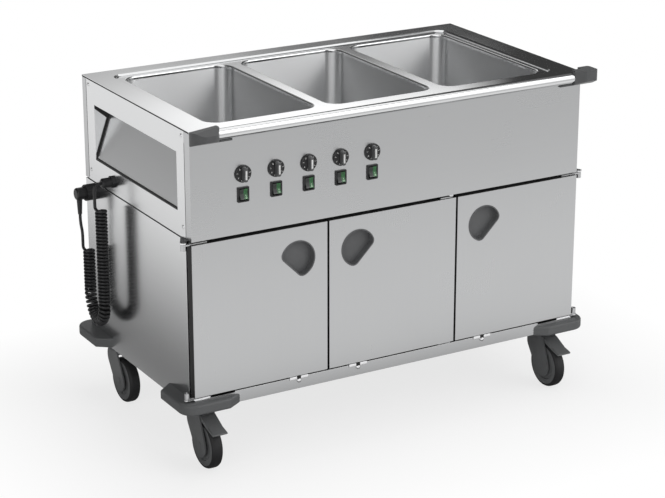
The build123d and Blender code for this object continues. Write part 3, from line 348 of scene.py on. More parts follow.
def scuffed(name, colour, rough):
    """Bumper plastic: moulded grain with pale scuffs along its length."""
    finish, tree, shader = new_finish(name)
    shader.inputs["Specular IOR Level"].default_value = 0.4
    scuffs = pattern(tree, 60, 6, (0.25, 0.25, 2.5))
    skin = pattern(tree, 1200, 3)
    dark = tuple(part * 0.94 for part in colour)
    pale = tuple(part * 1.09 for part in colour)
    tree.links.new(shades(tree, scuffs, dark, pale, 0.5, 0.85), shader.inputs["Base Color"])
    gloss = calc(
        tree, "ADD", spread(tree, skin, rough - 0.05, rough + 0.05), spread(tree, scuffs, 0, 0.1, 0.5, 0.8)
    )
    tree.links.new(gloss, shader.inputs["Roughness"])
    relief(tree, shader, skin, 0.3, 0.00015)
    return finish


def tinted_lens(name, colour):
    """Switch lens: glossy tinted plastic, a little uneven where the lamp sits behind it."""
    finish, tree, shader = new_finish(name)
    cloud = pattern(tree, 160, 2)
    dark = tuple(part * 0.7 for part in colour)
    pale = tuple(part * 1.35 for part in colour)
    tree.links.new(shades(tree, cloud, dark, pale), shader.inputs["Base Color"])
    skin = pattern(tree, 500, 2)
    tree.links.new(spread(tree, skin, 0.16, 0.24), shader.inputs["Roughness"])
    shader.inputs["Coat Weight"].default_value = 0.2
    relief(tree, shader, skin, 0.05, 0.00005)
    return finish


steel_along = brushed_steel("steel brushed along", (0.54, 0.545, 0.55), 0.28, (0.012, 1, 1))
steel_upright = brushed_steel("steel brushed upright", (0.54, 0.545, 0.55), 0.28, (1, 1, 0.012))
steel_deck = brushed_steel("deck steel", (0.68, 0.685, 0.69), 0.07, (0.012, 1, 1))
# The end panels and side walls are the same brushed stainless as the front sheets, painted lighter (0.74 against 0.54):
# painted light, for the light that falls on the trolley's sides.
steel_across_painted_lighter = brushed_steel("steel brushed across painted lighter", (0.74, 0.745, 0.75), 0.24, (1, 0.012, 1))
side_steel_painted_lighter = brushed_steel("side steel painted lighter", (0.74, 0.745, 0.75), 0.2, (1, 0.012, 1))
steel_well = polished_tub("well steel", (0.73, 0.735, 0.74), 0.45, 1.0)
# The pocket tray is painted a shade darker than the end panels round it: painted shade in the recess.
pocket_steel_painted_darker = brushed_steel("pocket steel painted darker", (0.7, 0.705, 0.71), 0.3, (1, 0.012, 1))
steel_bright = drawn_steel("bright hinge steel", (0.85, 0.85, 0.86), 0.2)
steel_zinc = drawn_steel("zinc plate", (0.5, 0.51, 0.53), 0.34)
heater_skin = drawn_steel("heater plate", (0.55, 0.55, 0.55), 0.45)
grey_moulding = moulded("grey moulding", (0.115, 0.118, 0.12), 0.44)
cap_moulding = moulded("cap moulding", (0.085, 0.087, 0.089), 0.4)
grey_bumper = scuffed("grey bumper", (0.105, 0.108, 0.11), 0.46)
grip_moulding = moulded("grip moulding", (0.11, 0.112, 0.115), 0.42)
black_moulding = moulded("black moulding", (0.012, 0.012, 0.013), 0.36)
knob_moulding = moulded("knob moulding", (0.085, 0.086, 0.088), 0.34)
# Black for the real seals, buffers and door edges, and also for the strips of painted shadow in gaps and folds.
seal_and_shadow_black = moulded("black seal and painted shadow", (0.014, 0.014, 0.014), 0.6)
tyre_rubber = moulded("tyre rubber", (0.016, 0.016, 0.017), 0.58, 700, 0.0002, 25)
cord_sheath = moulded("cord sheath", (0.014, 0.014, 0.015), 0.34, 900, 0.00006, 30)
pale_print = moulded("pale print", (0.72, 0.72, 0.71), 0.5)
lit_print = moulded("lit print", (0.5, 0.72, 0.5), 0.4)
green_lens = tinted_lens("green lens", (0.012, 0.1, 0.024))
dark_lens = tinted_lens("dark lens", (0.014, 0.017, 0.016))


# Mains lead: the route and the helix of the solids, as one smooth spline


def mains_lead():
    """One open spline: the gland's tail, the helix down, round the bend and up again, and the plug's tail."""
    wire = 0.0084
    coil_radius = 0.0123
    coil_pitch = 0.0094
    turns_down, turns_bend, turns_up = 28, 16.5, 12.5
    spacing, lean = 0.1187, -0.0125
    end_radius = 0.014
    points_a_turn = 12
    reach = coil_radius / cos(pi / points_a_turn)
    gland_end = Vector((-0.612, 0.1375, 0.653))
    gland_route = [(0, 0, 0), (-0.0082, 0, 0), (-0.0152, 0, -0.0041), (-0.0193, 0, -0.0111), (-0.0193, 0, -0.044)]
    plug_route = [(0, 0, 0.026), (-0.004, 0.002, 0.05), (-0.004, 0.002, 0.0746)]
    up = Vector((0, 0, 1))
    across = Vector((-lean, (spacing**2 - lean**2) ** 0.5, 0)).normalized()
    aside = across.cross(up)
    bend_radius = spacing / 2
    bend_pitch = pi * bend_radius / turns_bend
    turns = turns_down + turns_bend + turns_up
    ease_in, ease_out = turns_down - 1, turns_down + turns_bend
    mean_pitch = (coil_pitch + bend_pitch) / 2
    drop = coil_pitch * ease_in + mean_pitch

    def axis_run(turn):
        if turn <= ease_in:
            return coil_pitch * turn, coil_pitch
        if turn <= turns_down:
            part = turn - ease_in
            pitch = coil_pitch + (bend_pitch - coil_pitch) * part
            return coil_pitch * ease_in + (coil_pitch + pitch) / 2 * part, pitch
        if turn <= ease_out:
            return drop + bend_pitch * (turn - turns_down), bend_pitch
        if turn <= ease_out + 1:
            part = turn - ease_out
            pitch = bend_pitch + (coil_pitch - bend_pitch) * part
            return drop + pi * bend_radius + (bend_pitch + pitch) / 2 * part, pitch
        return drop + pi * bend_radius + mean_pitch + coil_pitch * (turn - ease_out - 1), coil_pitch

    def coil_point(turn, radius):
        run, pitch = axis_run(turn)
        angle = min(max((run - drop) / bend_radius, 0), pi)
        outward = across * -cos(angle) - up * sin(angle)
        forward = across * sin(angle) - up * cos(angle)
        centre = across * bend_radius - up * drop + outward * bend_radius
        centre += forward * (min(run - drop, 0) + max(run - drop - pi * bend_radius, 0))
        phase = 2 * pi * turn - pi / 2
        way = forward * pitch + (outward * -sin(phase) + aside * cos(phase)) * (2 * pi * coil_radius)
        return centre + (outward * cos(phase) + aside * sin(phase)) * radius, way.normalized()

    first, first_way = coil_point(0, coil_radius)
    last, last_way = coil_point(turns, coil_radius)
    first_level = Vector((first_way.x, first_way.y, 0)).normalized()
    last_level = Vector((last_way.x, last_way.y, 0)).normalized()
    first_run = first_way.dot(first_level)
    last_run = last_way.dot(last_level)
    entry = first - (first_level * (1 + first_way.z) - up * first_run) * end_radius
    leave = last + (last_level * (1 - last_way.z) + up * last_run) * end_radius
    first_corner = first - first_way * (end_radius * (1 + first_way.z) / first_run)
    last_corner = last + last_way * (end_radius * (1 - last_way.z) / last_run)
    shift = gland_end + Vector(gland_route[-1]) - (entry + up * wire)

    route = [gland_end + Vector(step) for step in gland_route]
    route += [entry + shift, first_corner + shift]
    for k in range(1, int(points_a_turn * turns)):
        route.append(coil_point(k / points_a_turn, reach)[0] + shift)
    route += [last_corner + shift, leave + shift]
    coil_end = leave + up * wire + shift
    route += [coil_end]
    route += [coil_end + Vector(step) for step in plug_route]

    line = bpy.data.curves.new("mains_lead", "CURVE")
    line.dimensions = "3D"
    spline = line.splines.new("NURBS")
    spline.points.add(len(route) - 1)
    for point, place in zip(spline.points, route):
        point.co = (*place, 1)
    spline.order_u = 3
    spline.use_endpoint_u = True
    spline.resolution_u = 3
    line.bevel_depth = wire / 2
    line.bevel_resolution = 3
    line.use_fill_caps = True
    lead = bpy.data.objects.new("mains_lead", line)
    bpy.context.scene.collection.objects.link(lead)
    set_in(lead, cord_sheath, "chassis", "black_rubber", "gland_tail", "curly_cord", "plug_tail")
    return lead, gland_end, wire


def lead_fittings():
    """Gland and parking socket with rounded edges, and the plug as its solid."""
    gland = smooth(ease_edges(bare_copy("cord_gland", "gland_body"), 0.0006, 2, 0.004))
    set_in(gland, black_moulding, "chassis", "black_plastic", "cord_gland")
    socket = smooth(ease_edges(bare_copy("parking_socket", "socket_body"), 0.0008, 2))
    set_in(socket, black_moulding, "chassis", "grey_plastic", "parking_socket")
    plug = smooth(bare_copy("plug", "plug_body"))
    set_in(plug, black_moulding, "chassis", "black_plastic", "plug")
    return plug


# Well tubs: drawn from one block, open at the top, with the flange that hangs under the deck's lip


def well_tub(place, x):
    """Block with rounded corners, opened at the top, given its flange and its sheet's thickness."""
    half_width, front, rear = 0.152, -0.257, 0.245
    foot, rim = 0.6962, 0.886
    wall_corner, foot_corner = 0.038, 0.0168
    flange, sheet = 0.007, 0.0012
    tub = block(f"well_tub_{place}", (x - half_width, front, foot), (x + half_width, rear, rim))
    pick(tub)
    bpy.ops.object.mode_set(mode="EDIT")
    bpy.ops.mesh.select_mode(type="FACE")
    bpy.ops.mesh.select_all(action="DESELECT")
    shape = bmesh.from_edit_mesh(tub.data)
    for face in shape.faces:
        face.select_set(face.normal.z > 0.5)
    bmesh.update_edit_mesh(tub.data)
    bpy.ops.mesh.delete(type="FACE")
    bpy.ops.object.mode_set(mode="OBJECT")

    def upright(edge, angle):
        return abs(edge.verts[0].co.z - edge.verts[1].co.z) > 0.1

    def at_foot(edge, angle):
        return max(end.co.z for end in edge.verts) < foot + 0.001 and angle > radians(60)

    select_edges(tub, upright)
    bpy.ops.mesh.bevel(offset=wall_corner, segments=10, affect="EDGES", clamp_overlap=False)
    bpy.ops.object.mode_set(mode="OBJECT")
    select_edges(tub, at_foot)
    bpy.ops.mesh.bevel(offset=foot_corner, segments=6, affect="EDGES", clamp_overlap=False)
    bpy.ops.mesh.select_all(action="SELECT")
    bpy.ops.mesh.normals_make_consistent(inside=False)
    bpy.ops.mesh.select_mode(type="EDGE")
    bpy.ops.mesh.select_all(action="DESELECT")
    shape = bmesh.from_edit_mesh(tub.data)
    for edge in shape.edges:
        edge.select_set(len(edge.link_faces) == 1)
    bmesh.update_edit_mesh(tub.data)
    bpy.ops.mesh.extrude_edges_move(TRANSFORM_OT_translate={"value": (0, 0, 0)})
    half_length = (rear - front) / 2
    grow = ((half_width + flange) / half_width, (half_length + flange) / half_length, 1)
    bpy.ops.transform.resize(value=grow, center_override=(x, front + half_length, rim))
    bpy.ops.object.mode_set(mode="OBJECT")
    wall = tub.modifiers.new("wall", "SOLIDIFY")
    wall.thickness = sheet
    wall.offset = 1.0
    bpy.ops.object.modifier_apply(modifier="wall")
    smooth(tub, 40)
    set_in(tub, steel_well, "chassis", "stainless", f"well_{place}")


# Worktop and rail


def worktop_sheet():
    """The deck and the half-round rail, as their solids with smooth bends."""
    deck = smooth(bare_copy("worktop", "worktop_sheet"), 28)
    set_in(deck, steel_deck, "chassis", "stainless", "worktop")
    rail = smooth(bare_copy("front_rail", "rail_tube"), 28)
    set_in(rail, steel_deck, "chassis", "stainless", "front_rail")


def rail_ends():
    """Moulded caps with rounded edges."""
    caps = bare_copy("rail_caps", "rail_end_caps")
    ease_edges(caps, 0.004, 4, 0.0, 20)
    smooth(caps, 40)
    set_in(caps, cap_moulding, "chassis", "grey_plastic", "rail_caps")


# Casing sheets and doors


def sheet_pieces():
    """Casing sheets with eased edges, each brushed its own way."""
    for node, finish in (
        ("control_panel", steel_along),
        ("upper_rear_panel", steel_along),
        ("end_panel_left", steel_across_painted_lighter),
        ("end_panel_right", steel_across_painted_lighter),
        ("base_tray", steel_along),
        ("side_wall_left", side_steel_painted_lighter),
        ("side_wall_right", side_steel_painted_lighter),
    ):
        piece = bare_copy(node, f"{node}_sheet")
        ease_edges(piece, 0.0006, 2, 0.02)
        smooth(piece)
        set_in(piece, finish, "chassis", "stainless", node)


def panel_seams():
    """Black strips of painted shadow: in the gap under the worktop's edge, and along the folds between the end panels
    and the sheets that wrap the corners.
    """
    proud = 0.0002
    low_edge, high_edge = 0.8962, 0.8985
    strips = []
    for side in (-1, 1):
        low_x, high_x = sorted((side * (right_end - proud), side * (right_end + proud)))
        for name, low_y, high_y, low_z, high_z in (
            ("top", -0.312, 0.315, low_edge, high_edge),
            ("front", -0.2868, -0.285, 0.626, 0.866),
            ("rear", 0.289, 0.2908, 0.626, 0.892),
        ):
            strips.append(block(f"seam_{name}_{side}", (low_x, low_y, low_z), (high_x, high_y, high_z)))
    back_low = (left_end, rear_face - proud, low_edge)
    back_high = (right_end, rear_face + proud, high_edge)
    strips.append(block("shadow_line_back", back_low, back_high))
    set_in(joined("panel_seams", strips), seal_and_shadow_black, "chassis", "black_rubber")


def pocket_seals():
    """Black strips of painted shadow round each sloped tray: along its foot, up its ends, and over the end plates."""
    mouth, depth = 0.5755, 0.057
    foot, roof = 0.684, 0.846
    half, thick, step = 0.243, 0.0015, 0.0004
    lean = (roof - foot) / depth
    band = 0.006
    bar_inside, bar_outside = 0.5728, 0.5768
    plate_front, plate_rear = 0.823, 0.791
    up_tray = [(0, foot), (depth, roof), (depth - band, roof), (0, foot + lean * band)]
    over_plate = [(0, plate_front), ((plate_rear - foot) / lean, plate_rear), (depth, roof), (0, roof)]
    for place, side in (("left", -1), ("right", 1)):
        low_x, high_x = sorted((side * bar_outside, side * bar_inside))
        bars = [block(f"foot_seal_{place}", (low_x, -half, foot), (high_x, half, foot + band))]
        for end in (-1, 1):
            for k, outline in enumerate((up_tray, over_plate)):
                points = [(side * (mouth - inward), end * half, z) for inward, z in outline]
                bars.append(pressed(f"end_seal_{place}_{end}_{k}", points, (0, -end * (thick + step * k), 0)))
        set_in(joined(f"pocket_seal_{place}", bars), seal_and_shadow_black, "chassis", "black_rubber")


def edge_profile(place):
    """Black profile round a door's edge, between its front and its rear sheet."""
    low_x = door_starts[place]
    high_x = low_x + door_width
    low_z, high_z = 0.2103, 0.612
    front, rear, skin = -0.3138, -0.2918, 0.0003
    bars = [
        block(f"edge_left_{place}", (low_x - skin, front, low_z), (low_x, rear, high_z)),
        block(f"edge_right_{place}", (high_x, front, low_z), (high_x + skin, rear, high_z)),
        block(f"edge_foot_{place}", (low_x, front, low_z - skin), (high_x, rear, low_z)),
        block(f"edge_head_{place}", (low_x, front, high_z), (high_x, rear, high_z + skin)),
    ]
    profile = joined(f"door_edge_{place}", bars)
    set_in(profile, seal_and_shadow_black, f"{place}_door", "black_rubber", f"door_{place}")


def doors():
    """Leaves with eased edges, their black edge profiles and their grip cups."""
    for place in ("left", "middle", "right"):
        leaf = bare_copy(f"door_{place}", f"door_leaf_{place}")
        ease_edges(leaf, 0.001, 2, 0.05)
        smooth(leaf)
        set_in(leaf, steel_upright, f"{place}_door", "stainless", f"door_{place}")
        edge_profile(place)
        cup = bare_copy(f"door_grip_{place}", f"grip_cup_{place}")
        ease_edges(cup, 0.0008, 2)
        smooth(cup)
        set_in(cup, grip_moulding, f"{place}_door", "grey_plastic", f"door_grip_{place}")


def catches():
    """A bright strip each side of a black buffer, with a bright roller under it."""
    strip_near, strip_far, strip_proud = 0.0055, 0.027, 0.0025
    buffer_half, buffer_proud = 0.005, 0.0044
    roller_height = 0.1979
    roller_outline = [(0, 0), (0, 0.0055), (0.0034, 0.0055), (0.0046, 0.0044), (0.005, 0.003), (0.005, 0)]
    strips, buffers, rollers = [], [], []
    for k, x in enumerate(catch_places):
        for side in (-1, 1):
            near, far = sorted((x + side * strip_near, x + side * strip_far))
            strip = block(f"strip_{k}_{side}", (near, front_face - strip_proud, 0.2014), (far, front_face, 0.2094))
            strips.append(ease_edges(strip, 0.001, 2))
        low = (x - buffer_half, front_face - buffer_proud, 0.2018)
        buffers.append(ease_edges(block(f"buffer_{k}", low, (x + buffer_half, front_face, 0.209)), 0.0014, 3))
        rollers.append(turned(f"roller_{k}", roller_outline, (x, front_face, roller_height), (0, -1, 0), 32))
    set_in(smooth(joined("catch_strips", strips)), steel_bright, "chassis", "bright_steel", "door_catches")
    set_in(smooth(joined("catch_buffers", buffers)), seal_and_shadow_black, "chassis", "black_rubber", "door_catches")
    set_in(smooth(joined("catch_rollers", rollers)), steel_bright, "chassis", "bright_steel", "door_catches")


def screw_heads():
    """Domed cross-slot heads on the end panels."""
    dome = [(0, 0), (0, 0.0045), (0.0007, 0.0045), (0.0015, 0.0039), (0.0021, 0.0027), (0.0024, 0.0012), (0.0024, 0)]
    slot_long, slot_short, slot_reach = 0.0022, 0.0004, 0.0036
    heads = []
    for side in (-1, 1):
        face = side * right_end
        head = turned("head", dome, (face, 0, 0), (side, 0, 0), 24)
        low_x, high_x = sorted((face, face + side * slot_reach))
        for half_y, half_z in ((slot_short, slot_long), (slot_long, slot_short)):
            slot = block("slot", (low_x, -half_y, -half_z), (high_x, half_y, half_z))
            pick(head)
            cut = head.modifiers.new("cut", "BOOLEAN")
            cut.operation = "DIFFERENCE"
            cut.object = slot
            bpy.ops.object.modifier_apply(modifier="cut")
            bpy.data.objects.remove(slot)
        for y in (-0.2716, 0.2756):
            for z in (0.65, 0.882):
                heads.append(twin(head, f"head_{len(heads)}", (0, y, z)))
        bpy.data.objects.remove(head)
    set_in(smooth(joined("screw_heads", heads)), steel_bright, "chassis", "bright_steel", "panel_screws")


# Controls


def control_knobs():
    """Skirt with its scale, finger bar and white pointer, modelled once and copied."""
    x = control_places[0]
    face = front_face - 0.0006
    bar_half, bar_length, bar_front, bar_rear = 0.006, 0.0195, 0.019, 0.004
    pointer_half, pointer_length = 0.0023, 0.0115
    scale_radius, mark_size = 0.0168, 0.0062
    skirt_outline = [(0, 0), (0, 0.0212), (0.0008, 0.022), (0.0034, 0.022), (0.0046, 0.0208), (0.005, 0.0196),
                     (0.005, 0.0135), (0.0064, 0.0115), (0.0066, 0)]
    skirt = turned("knob_skirt", skirt_outline, (x, face, knob_height), (0, -1, 0), 64)
    bar = block(
        "knob_bar",
        (x - bar_half, face - bar_front, knob_height - bar_length),
        (x + bar_half, face - bar_rear, knob_height + bar_length),
    )
    pick(bar)
    bpy.ops.object.mode_set(mode="EDIT")
    bpy.ops.mesh.select_mode(type="VERT")
    bpy.ops.mesh.select_all(action="DESELECT")
    shape = bmesh.from_edit_mesh(bar.data)
    for vertex in shape.verts:
        vertex.select_set(vertex.co.y < face - 0.015)
    bmesh.update_edit_mesh(bar.data)
    bpy.ops.transform.resize(value=(0.8, 1, 0.9), center_override=(x, face - bar_front, knob_height))
    bpy.ops.object.mode_set(mode="OBJECT")

    def at_bar_end(middle):
        return abs(abs(middle.z - knob_height) - 0.0185) < 0.002 and abs(middle.x - x) > 0.003

    ease_edges(bar, 0.0038, 4, where=at_bar_end)
    ease_edges(bar, 0.0016, 3, 0.0005)
    smooth(skirt, 40)
    smooth(bar, 40)
    pointer = block(
        "knob_pointer",
        (x - pointer_half, face - bar_front - 0.0003, knob_height - pointer_length),
        (x + pointer_half, face - bar_front + 0.0005, knob_height + pointer_length),
    )
    ease_edges(pointer, 0.0002, 1)
    marks = []
    for number in range(1, 9):
        turn = radians(40 * number)
        nothing_picked()
        bpy.ops.object.text_add()
        mark = bpy.context.object
        mark.data.body = str(number)
        mark.data.size = mark_size
        mark.data.align_x = "CENTER"
        mark.data.align_y = "CENTER"
        mark.data.extrude = 0.00012
        bpy.ops.object.convert(target="MESH")
        place = Vector((x + scale_radius * sin(turn), face - 0.0051, knob_height + scale_radius * cos(turn)))
        upright = Matrix.Rotation(turn, 4, "Y") @ Matrix.Rotation(pi / 2, 4, "X")
        mark.matrix_world = Matrix.Translation(place) @ upright
        marks.append(start_piece(f"mark_{number}"))
    scale = joined("knob_scale", marks)
    for k in range(5):
        number = k + 1
        for piece, finish in (
            (skirt, black_moulding), (bar, knob_moulding), (pointer, pale_print), (scale, pale_print),
        ):
            copy = twin(piece, f"{piece.name}_{number}", (control_pitch * k, 0, 0))
            set_in(copy, finish, f"dial_{number}", "black_plastic", f"knob_{number}")
    for piece in (skirt, bar, pointer, scale):
        bpy.data.objects.remove(piece)


def half_of(node, name, x, keep_right):
    """One half of a solid, cut upright at x."""
    piece = bare_copy(node, name)
    ease_edges(piece, 0.0008, 2, 0.004)
    pick(piece)
    bpy.ops.object.mode_set(mode="EDIT")
    bpy.ops.mesh.select_all(action="SELECT")
    bpy.ops.mesh.bisect(
        plane_co=(x, 0, 0), plane_no=(1, 0, 0), use_fill=True, clear_inner=keep_right, clear_outer=not keep_right
    )
    bpy.ops.object.mode_set(mode="OBJECT")
    return smooth(piece)


def switches():
    """Bezels, and rockers with a dark left half and a lit window as their right half."""
    bezels = bare_copy("switch_bodies", "switch_bezels")
    ease_edges(bezels, 0.0009, 2, 0.0)
    smooth(bezels)
    set_in(bezels, black_moulding, "chassis", "black_plastic", "switch_bodies")
    window_middle = 0.0055
    skin, bar_half, bar_length = 0.0001, 0.0006, 0.0016
    ring = [(-skin, 0.0012), (skin, 0.0012), (skin, 0.0022), (-skin, 0.0022), (-skin, 0.0012)]
    lean = Matrix.Rotation(-radians(24.7), 4, "X")
    face_y, face_z, slope_y, slope_z = -0.31802, 0.72287, 0.417, 0.908
    for number, x in enumerate(control_places, 1):
        node, body = f"rocker_{number}", f"switch_{number}"
        set_in(half_of(node, f"rocker_key_{number}", x, False), dark_lens, body, "green_lens", node)
        set_in(half_of(node, f"rocker_window_{number}", x, True), green_lens, body, "green_lens", node)
        middle = x + window_middle
        on_mark = block(f"on_{number}", (middle - bar_half, -skin, -bar_length), (middle + bar_half, skin, bar_length))
        off_mark = turned(f"off_{number}", ring, (middle, 0, 0), (0, 1, 0), 24)
        for mark, along in ((on_mark, 0.0038), (off_mark, 0.0092)):
            place = Matrix.Translation((0, face_y - slope_y * along, face_z - slope_z * along))
            mark.data.transform(place @ lean)
        marks = joined(f"rocker_marks_{number}", [on_mark, off_mark])
        set_in(marks, lit_print, body, "green_lens", node)


# Running gear


def bumpers():
    """Corner blocks with rounded edges."""
    corners = bare_copy("corner_bumpers", "bumper_blocks")
    ease_edges(corners, 0.003, 3, 0.012)
    smooth(corners, 40)
    set_in(corners, grey_bumper, "chassis", "grey_plastic", "corner_bumpers")


def castor_wheels():
    """Tyre, and the wheel centre with its hub, dished web and rim, modelled once and copied."""
    x, y = castor_places["front_left"]
    axle = (x, y - axle_trail, axle_height)
    tread = [(-0.0128, 0.0545), (-0.015, 0.055), (-0.0153, 0.0565), (-0.0132, 0.0599), (-0.0098, 0.0619),
             (-0.006, 0.0625), (0.006, 0.0625), (0.0098, 0.0619), (0.0132, 0.0599), (0.0153, 0.0565),
             (0.015, 0.055), (0.0128, 0.0545), (-0.0128, 0.0545)]
    tyre = smooth(turned("tyre", tread, axle, (1, 0, 0), 72), 50)
    half = [(0.018, 0.0051), (0.018, 0.0125), (0.0172, 0.0138), (0.0132, 0.015), (0.0126, 0.018), (0.0126, 0.0372),
            (0.0116, 0.0382), (0.0116, 0.0394), (0.0128, 0.0404), (0.0146, 0.0414), (0.0152, 0.0432),
            (0.0152, 0.0534), (0.0146, 0.0546)]
    centre = smooth(
        turned("wheel_centre", [(-run, radius) for run, radius in half] + half[::-1] + [(-0.018, 0.0051)],
               axle, (1, 0, 0), 72),
        40,
    )
    for place, (px, py) in castor_places.items():
        shift = (px - x, py - y, 0)
        ring = twin(tyre, f"tyre_{place}", shift)
        set_in(ring, tyre_rubber, f"{place}_wheel", "tread", f"castor_wheel_{place}")
        hub = twin(centre, f"wheel_centre_{place}", shift)
        set_in(hub, grey_moulding, f"{place}_wheel", "grey_plastic", f"castor_wheel_{place}")
    for piece in (tyre, centre):
        bpy.data.objects.remove(piece)


def castor_forks():
    """Fork shells with rounded edges."""
    for place in castor_places:
        fork = bare_copy(f"castor_fork_{place}", f"fork_shell_{place}")
        ease_edges(fork, 0.002, 3, 0.0)
        smooth(fork, 40)
        set_in(fork, grey_moulding, f"{place}_fork", "grey_plastic", f"castor_fork_{place}")


def brake_pedals():
    """Pedal shells with eased edges."""
    for place in ("front_left", "front_right"):
        pedal = bare_copy(f"brake_pedal_{place}", f"pedal_shell_{place}")
        ease_edges(pedal, 0.0012, 2, 0.0)
        smooth(pedal, 40)
        set_in(pedal, grey_moulding, f"{place}_pedal", "grey_plastic", f"brake_pedal_{place}")


# Solids that stay as they are


def plain_nodes():
    """Each keeps its shape and gets a finish."""
    finishes = {
        "heating_plates": heater_skin,
        "grip_pocket_left": pocket_steel_painted_darker,
        "grip_pocket_right": pocket_steel_painted_darker,
        "rear_wall": steel_upright,
        "cabinet_ceiling": steel_along,
        "partition_left": steel_upright,
        "partition_right": steel_upright,
        "hinge_brackets": steel_bright,
        "door_gaskets": seal_and_shadow_black,
        "thermostats": black_moulding,
        "castor_plates": steel_zinc,
    }
    for node, finish in finishes.items():
        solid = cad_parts[node]
        solid.data.materials.clear()
        solid.data.materials.append(finish)


# Floor, light and camera


def mat_level(tree, spot):
    """How bright the floor is to the steel: painted shade beside the trolley and just before it, for the floor's shadow
    in the steel's reflections, and dimmer far in front.
    """
    paper, beside_depth, close_depth, far_share = 0.97, 0.77, 0.8, 0.74
    parts = tree.nodes.new("ShaderNodeSeparateXYZ")
    tree.links.new(spot, parts.inputs["Vector"])
    along, back = calc(tree, "ABSOLUTE", parts.outputs["X"]), parts.outputs["Y"]
    beside = calc(tree, "MULTIPLY", spread(tree, along, 0, 1, 0.6, 0.75), spread(tree, along, 1, 0, 0.877, 1.447))
    beside = calc(tree, "MULTIPLY", beside, spread(tree, back, 0, beside_depth, -0.75, -0.4))
    close = calc(tree, "MULTIPLY", spread(tree, back, 0, close_depth, -0.72, -0.55), spread(tree, back, 1, 0, 0.3, 0.5))
    close = calc(tree, "MULTIPLY", close, spread(tree, along, 1, 0, 0.6, 0.8))
    level = calc(tree, "SUBTRACT", paper, calc(tree, "MAXIMUM", beside, close))
    return calc(tree, "MULTIPLY", level, spread(tree, back, far_share, 1, -2.3, -1.7))


def clear_of_trolley(tree, spot):
    """The distance of a spot from the trolley's footprint."""
    footprint, nothing = (0.6, 0.33, 0), (0, 0, 0)
    value = spot
    for operation, other in (("ABSOLUTE", nothing), ("SUBTRACT", footprint), ("MAXIMUM", nothing)):
        step = tree.nodes.new("ShaderNodeVectorMath")
        step.operation = operation
        step.inputs[1].default_value = other
        tree.links.new(value, step.inputs[0])
        value = step.outputs["Vector"]
    away = tree.nodes.new("ShaderNodeVectorMath")
    away.operation = "LENGTH"
    tree.links.new(value, away.inputs[0])
    return away.outputs["Value"]


def floor_sheet():
    """White paper: bright to the camera but for the shadow; to the steel it shows painted shade beside and before the
    trolley, a painted reflection of the floor's shadow.
    """
    shadow_share, shadow_reach = 0.75, 0.5
    nothing_picked()
    bpy.ops.mesh.primitive_plane_add(size=60)
    floor = start_piece("floor")
    finish, tree, shader = new_finish("pale floor")
    cloud = pattern(tree, 1.5, 2)
    tree.links.new(shades(tree, cloud, (0.86, 0.86, 0.86), (0.88, 0.88, 0.88)), shader.inputs["Base Color"])
    shader.inputs["Roughness"].default_value = 0.9
    spot = tree.nodes.new("ShaderNodeTexCoord").outputs["Object"]
    path = tree.nodes.new("ShaderNodeLightPath")
    seen = tree.nodes.new("ShaderNodeEmission")
    mirrored = tree.nodes.new("ShaderNodeEmission")
    # Painted reflection: to the steel the floor glows darker near the trolley, painted shade for the floor's shadow.
    tree.links.new(mat_level(tree, spot), mirrored.inputs["Strength"])
    share = spread(tree, clear_of_trolley(tree, spot), shadow_share, 1, 0, shadow_reach)
    to_camera = calc(tree, "MULTIPLY", path.outputs["Is Camera Ray"], share)
    to_steel = calc(tree, "MAXIMUM", path.outputs["Is Glossy Ray"], path.outputs["Is Transmission Ray"])
    surface = shader.outputs["BSDF"]
    for factor, glow in ((to_camera, seen), (to_steel, mirrored)):
        mix = tree.nodes.new("ShaderNodeMixShader")
        tree.links.new(factor, mix.inputs["Fac"])
        tree.links.new(surface, mix.inputs[1])
        tree.links.new(glow.outputs["Emission"], mix.inputs[2])
        surface = mix.outputs["Shader"]
    tree.links.new(surface, tree.nodes["Material Output"].inputs["Surface"])
    floor.data.materials.append(finish)


def blend(tree, factor, first, grey):
    """A colour mixed with a grey level by a factor."""
    mix = tree.nodes.new("ShaderNodeMix")
    mix.data_type = "RGBA"
    tree.links.new(factor, mix.inputs["Factor"])
    tree.links.new(first, mix.inputs["A"])
    mix.inputs["B"].default_value = (grey, grey, grey, 1)
    return mix.outputs["Result"]


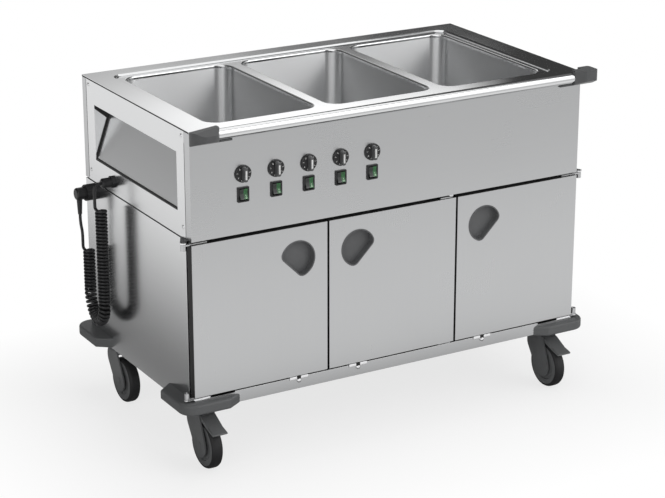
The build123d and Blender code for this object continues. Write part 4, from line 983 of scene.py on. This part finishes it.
def room_light():
    """The room: white to the camera; to the object, panels of light and dark round it and a grey ceiling."""
    strength, front_level, ceiling_level = 1.5, 0.1, 0.12
    # Bearings in degrees from the rear towards the right, each with the room's level there
    levels = (
        (-168, 0.12), (-158, 0.92), (-118, 0.92), (-104, 0.24), (-60, 0.2), (-30, 0.2), (10, 0.25), (23, 0.33),
        (26, 0.26), (29, 0.08), (32, 0.04), (41, 0.03), (75, 0.1), (100, 0.4), (118, 0.92), (160, 0.92), (171, 0.12),
    )
    world = bpy.data.worlds.new("studio")
    bpy.context.scene.world = world
    world.use_nodes = True
    tree = world.node_tree
    around = tree.nodes["Background"]
    around.inputs["Strength"].default_value = strength
    parts = tree.nodes.new("ShaderNodeSeparateXYZ")
    tree.links.new(tree.nodes.new("ShaderNodeTexCoord").outputs["Generated"], parts.inputs["Vector"])
    turn = calc(tree, "ARCTAN2", parts.outputs["X"], parts.outputs["Y"])
    height = parts.outputs["Z"]

    def sector(start, full, fading, gone):
        """Grows from 0 to 1 between two bearings and falls again between two more."""
        grown = spread(tree, turn, 0, 1, radians(start), radians(full))
        return calc(tree, "MULTIPLY", grown, spread(tree, turn, 1, 0, radians(fading), radians(gone)))

    def above(start, full, most):
        """Grows between two elevations in degrees."""
        return spread(tree, height, 0, most, sin(radians(start)), sin(radians(full)))

    sweep = tree.nodes.new("ShaderNodeValToRGB")
    tree.links.new(spread(tree, turn, 0, 1, -pi, pi), sweep.inputs["Fac"])
    stops = sweep.color_ramp.elements
    for stop, position in zip(stops, (0, 1)):
        stop.position, stop.color = position, (front_level, front_level, front_level, 1)
    for degrees, level in levels:
        stops.new(0.5 + degrees / 360).color = (level, level, level, 1)
    dark_corner = calc(tree, "MULTIPLY", sector(-104, -90, -20, 5), above(6, 13, 0.8))
    card = calc(tree, "MULTIPLY", sector(21, 27.5, 33.6, 35.2), above(14.2, 15.4, 1))
    light = blend(tree, dark_corner, sweep.outputs["Color"], 0)
    light = blend(tree, card, light, 1)
    light = blend(tree, spread(tree, height, 0, 1, 0.56, 0.8), light, ceiling_level)
    tree.links.new(light, around.inputs["Color"])
    white = tree.nodes.new("ShaderNodeBackground")
    white.inputs["Color"].default_value = (1, 1, 1, 1)
    seen = tree.nodes.new("ShaderNodeMixShader")
    tree.links.new(tree.nodes.new("ShaderNodeLightPath").outputs["Is Camera Ray"], seen.inputs["Fac"])
    tree.links.new(around.outputs["Background"], seen.inputs[1])
    tree.links.new(white.outputs["Background"], seen.inputs[2])
    tree.links.new(seen.outputs["Shader"], tree.nodes["World Output"].inputs["Surface"])


def lamps():
    """Three large soft lamps, each aimed at the trolley."""
    for name, place, aim, size, power in (
        ("key", (2.7, -3.5, 3.7), (0, 0, 0.4), 3.0, 42),
        ("fill", (-3.4, -2.8, 2.6), (0, 0, 0.4), 3.0, 12),
        ("overhead", (0.2, -0.2, 3.6), (0.1, 0, 0.8), 3.2, 36),
    ):
        lamp = bpy.data.lights.new(name, "AREA")
        lamp.shape = "SQUARE"
        lamp.size = size
        lamp.energy = power
        holder = bpy.data.objects.new(name, lamp)
        holder.location = place
        holder.rotation_euler = (Vector(aim) - Vector(place)).to_track_quat("-Z", "Y").to_euler()
        bpy.context.scene.collection.objects.link(holder)


def photo_camera():
    """The photograph's view, with its focal length and width in pixels."""
    focal, width = 2100, 665
    pitch, turn = 19.42, 30.13
    view = bpy.data.cameras.new("photo_view")
    view.sensor_width = 36
    view.lens = focal / width * view.sensor_width
    view.clip_end = 100
    eye = bpy.data.objects.new("photo_view", view)
    eye.location = (-2.695, -4.646, 2.301)
    eye.rotation_euler = (radians(90 - pitch), 0, radians(-turn))
    bpy.context.scene.collection.objects.link(eye)
    bpy.context.scene.camera = eye
    bpy.context.scene.view_settings.view_transform = "Standard"


lead, lead_exit, wire = mains_lead()
plug = lead_fittings()
for place, x in well_places:
    well_tub(place, x)
worktop_sheet()
rail_ends()
sheet_pieces()
panel_seams()
pocket_seals()
doors()
catches()
screw_heads()
control_knobs()
switches()
bumpers()
castor_wheels()
castor_forks()
brake_pedals()
plain_nodes()
floor_sheet()
room_light()
lamps()
photo_camera()
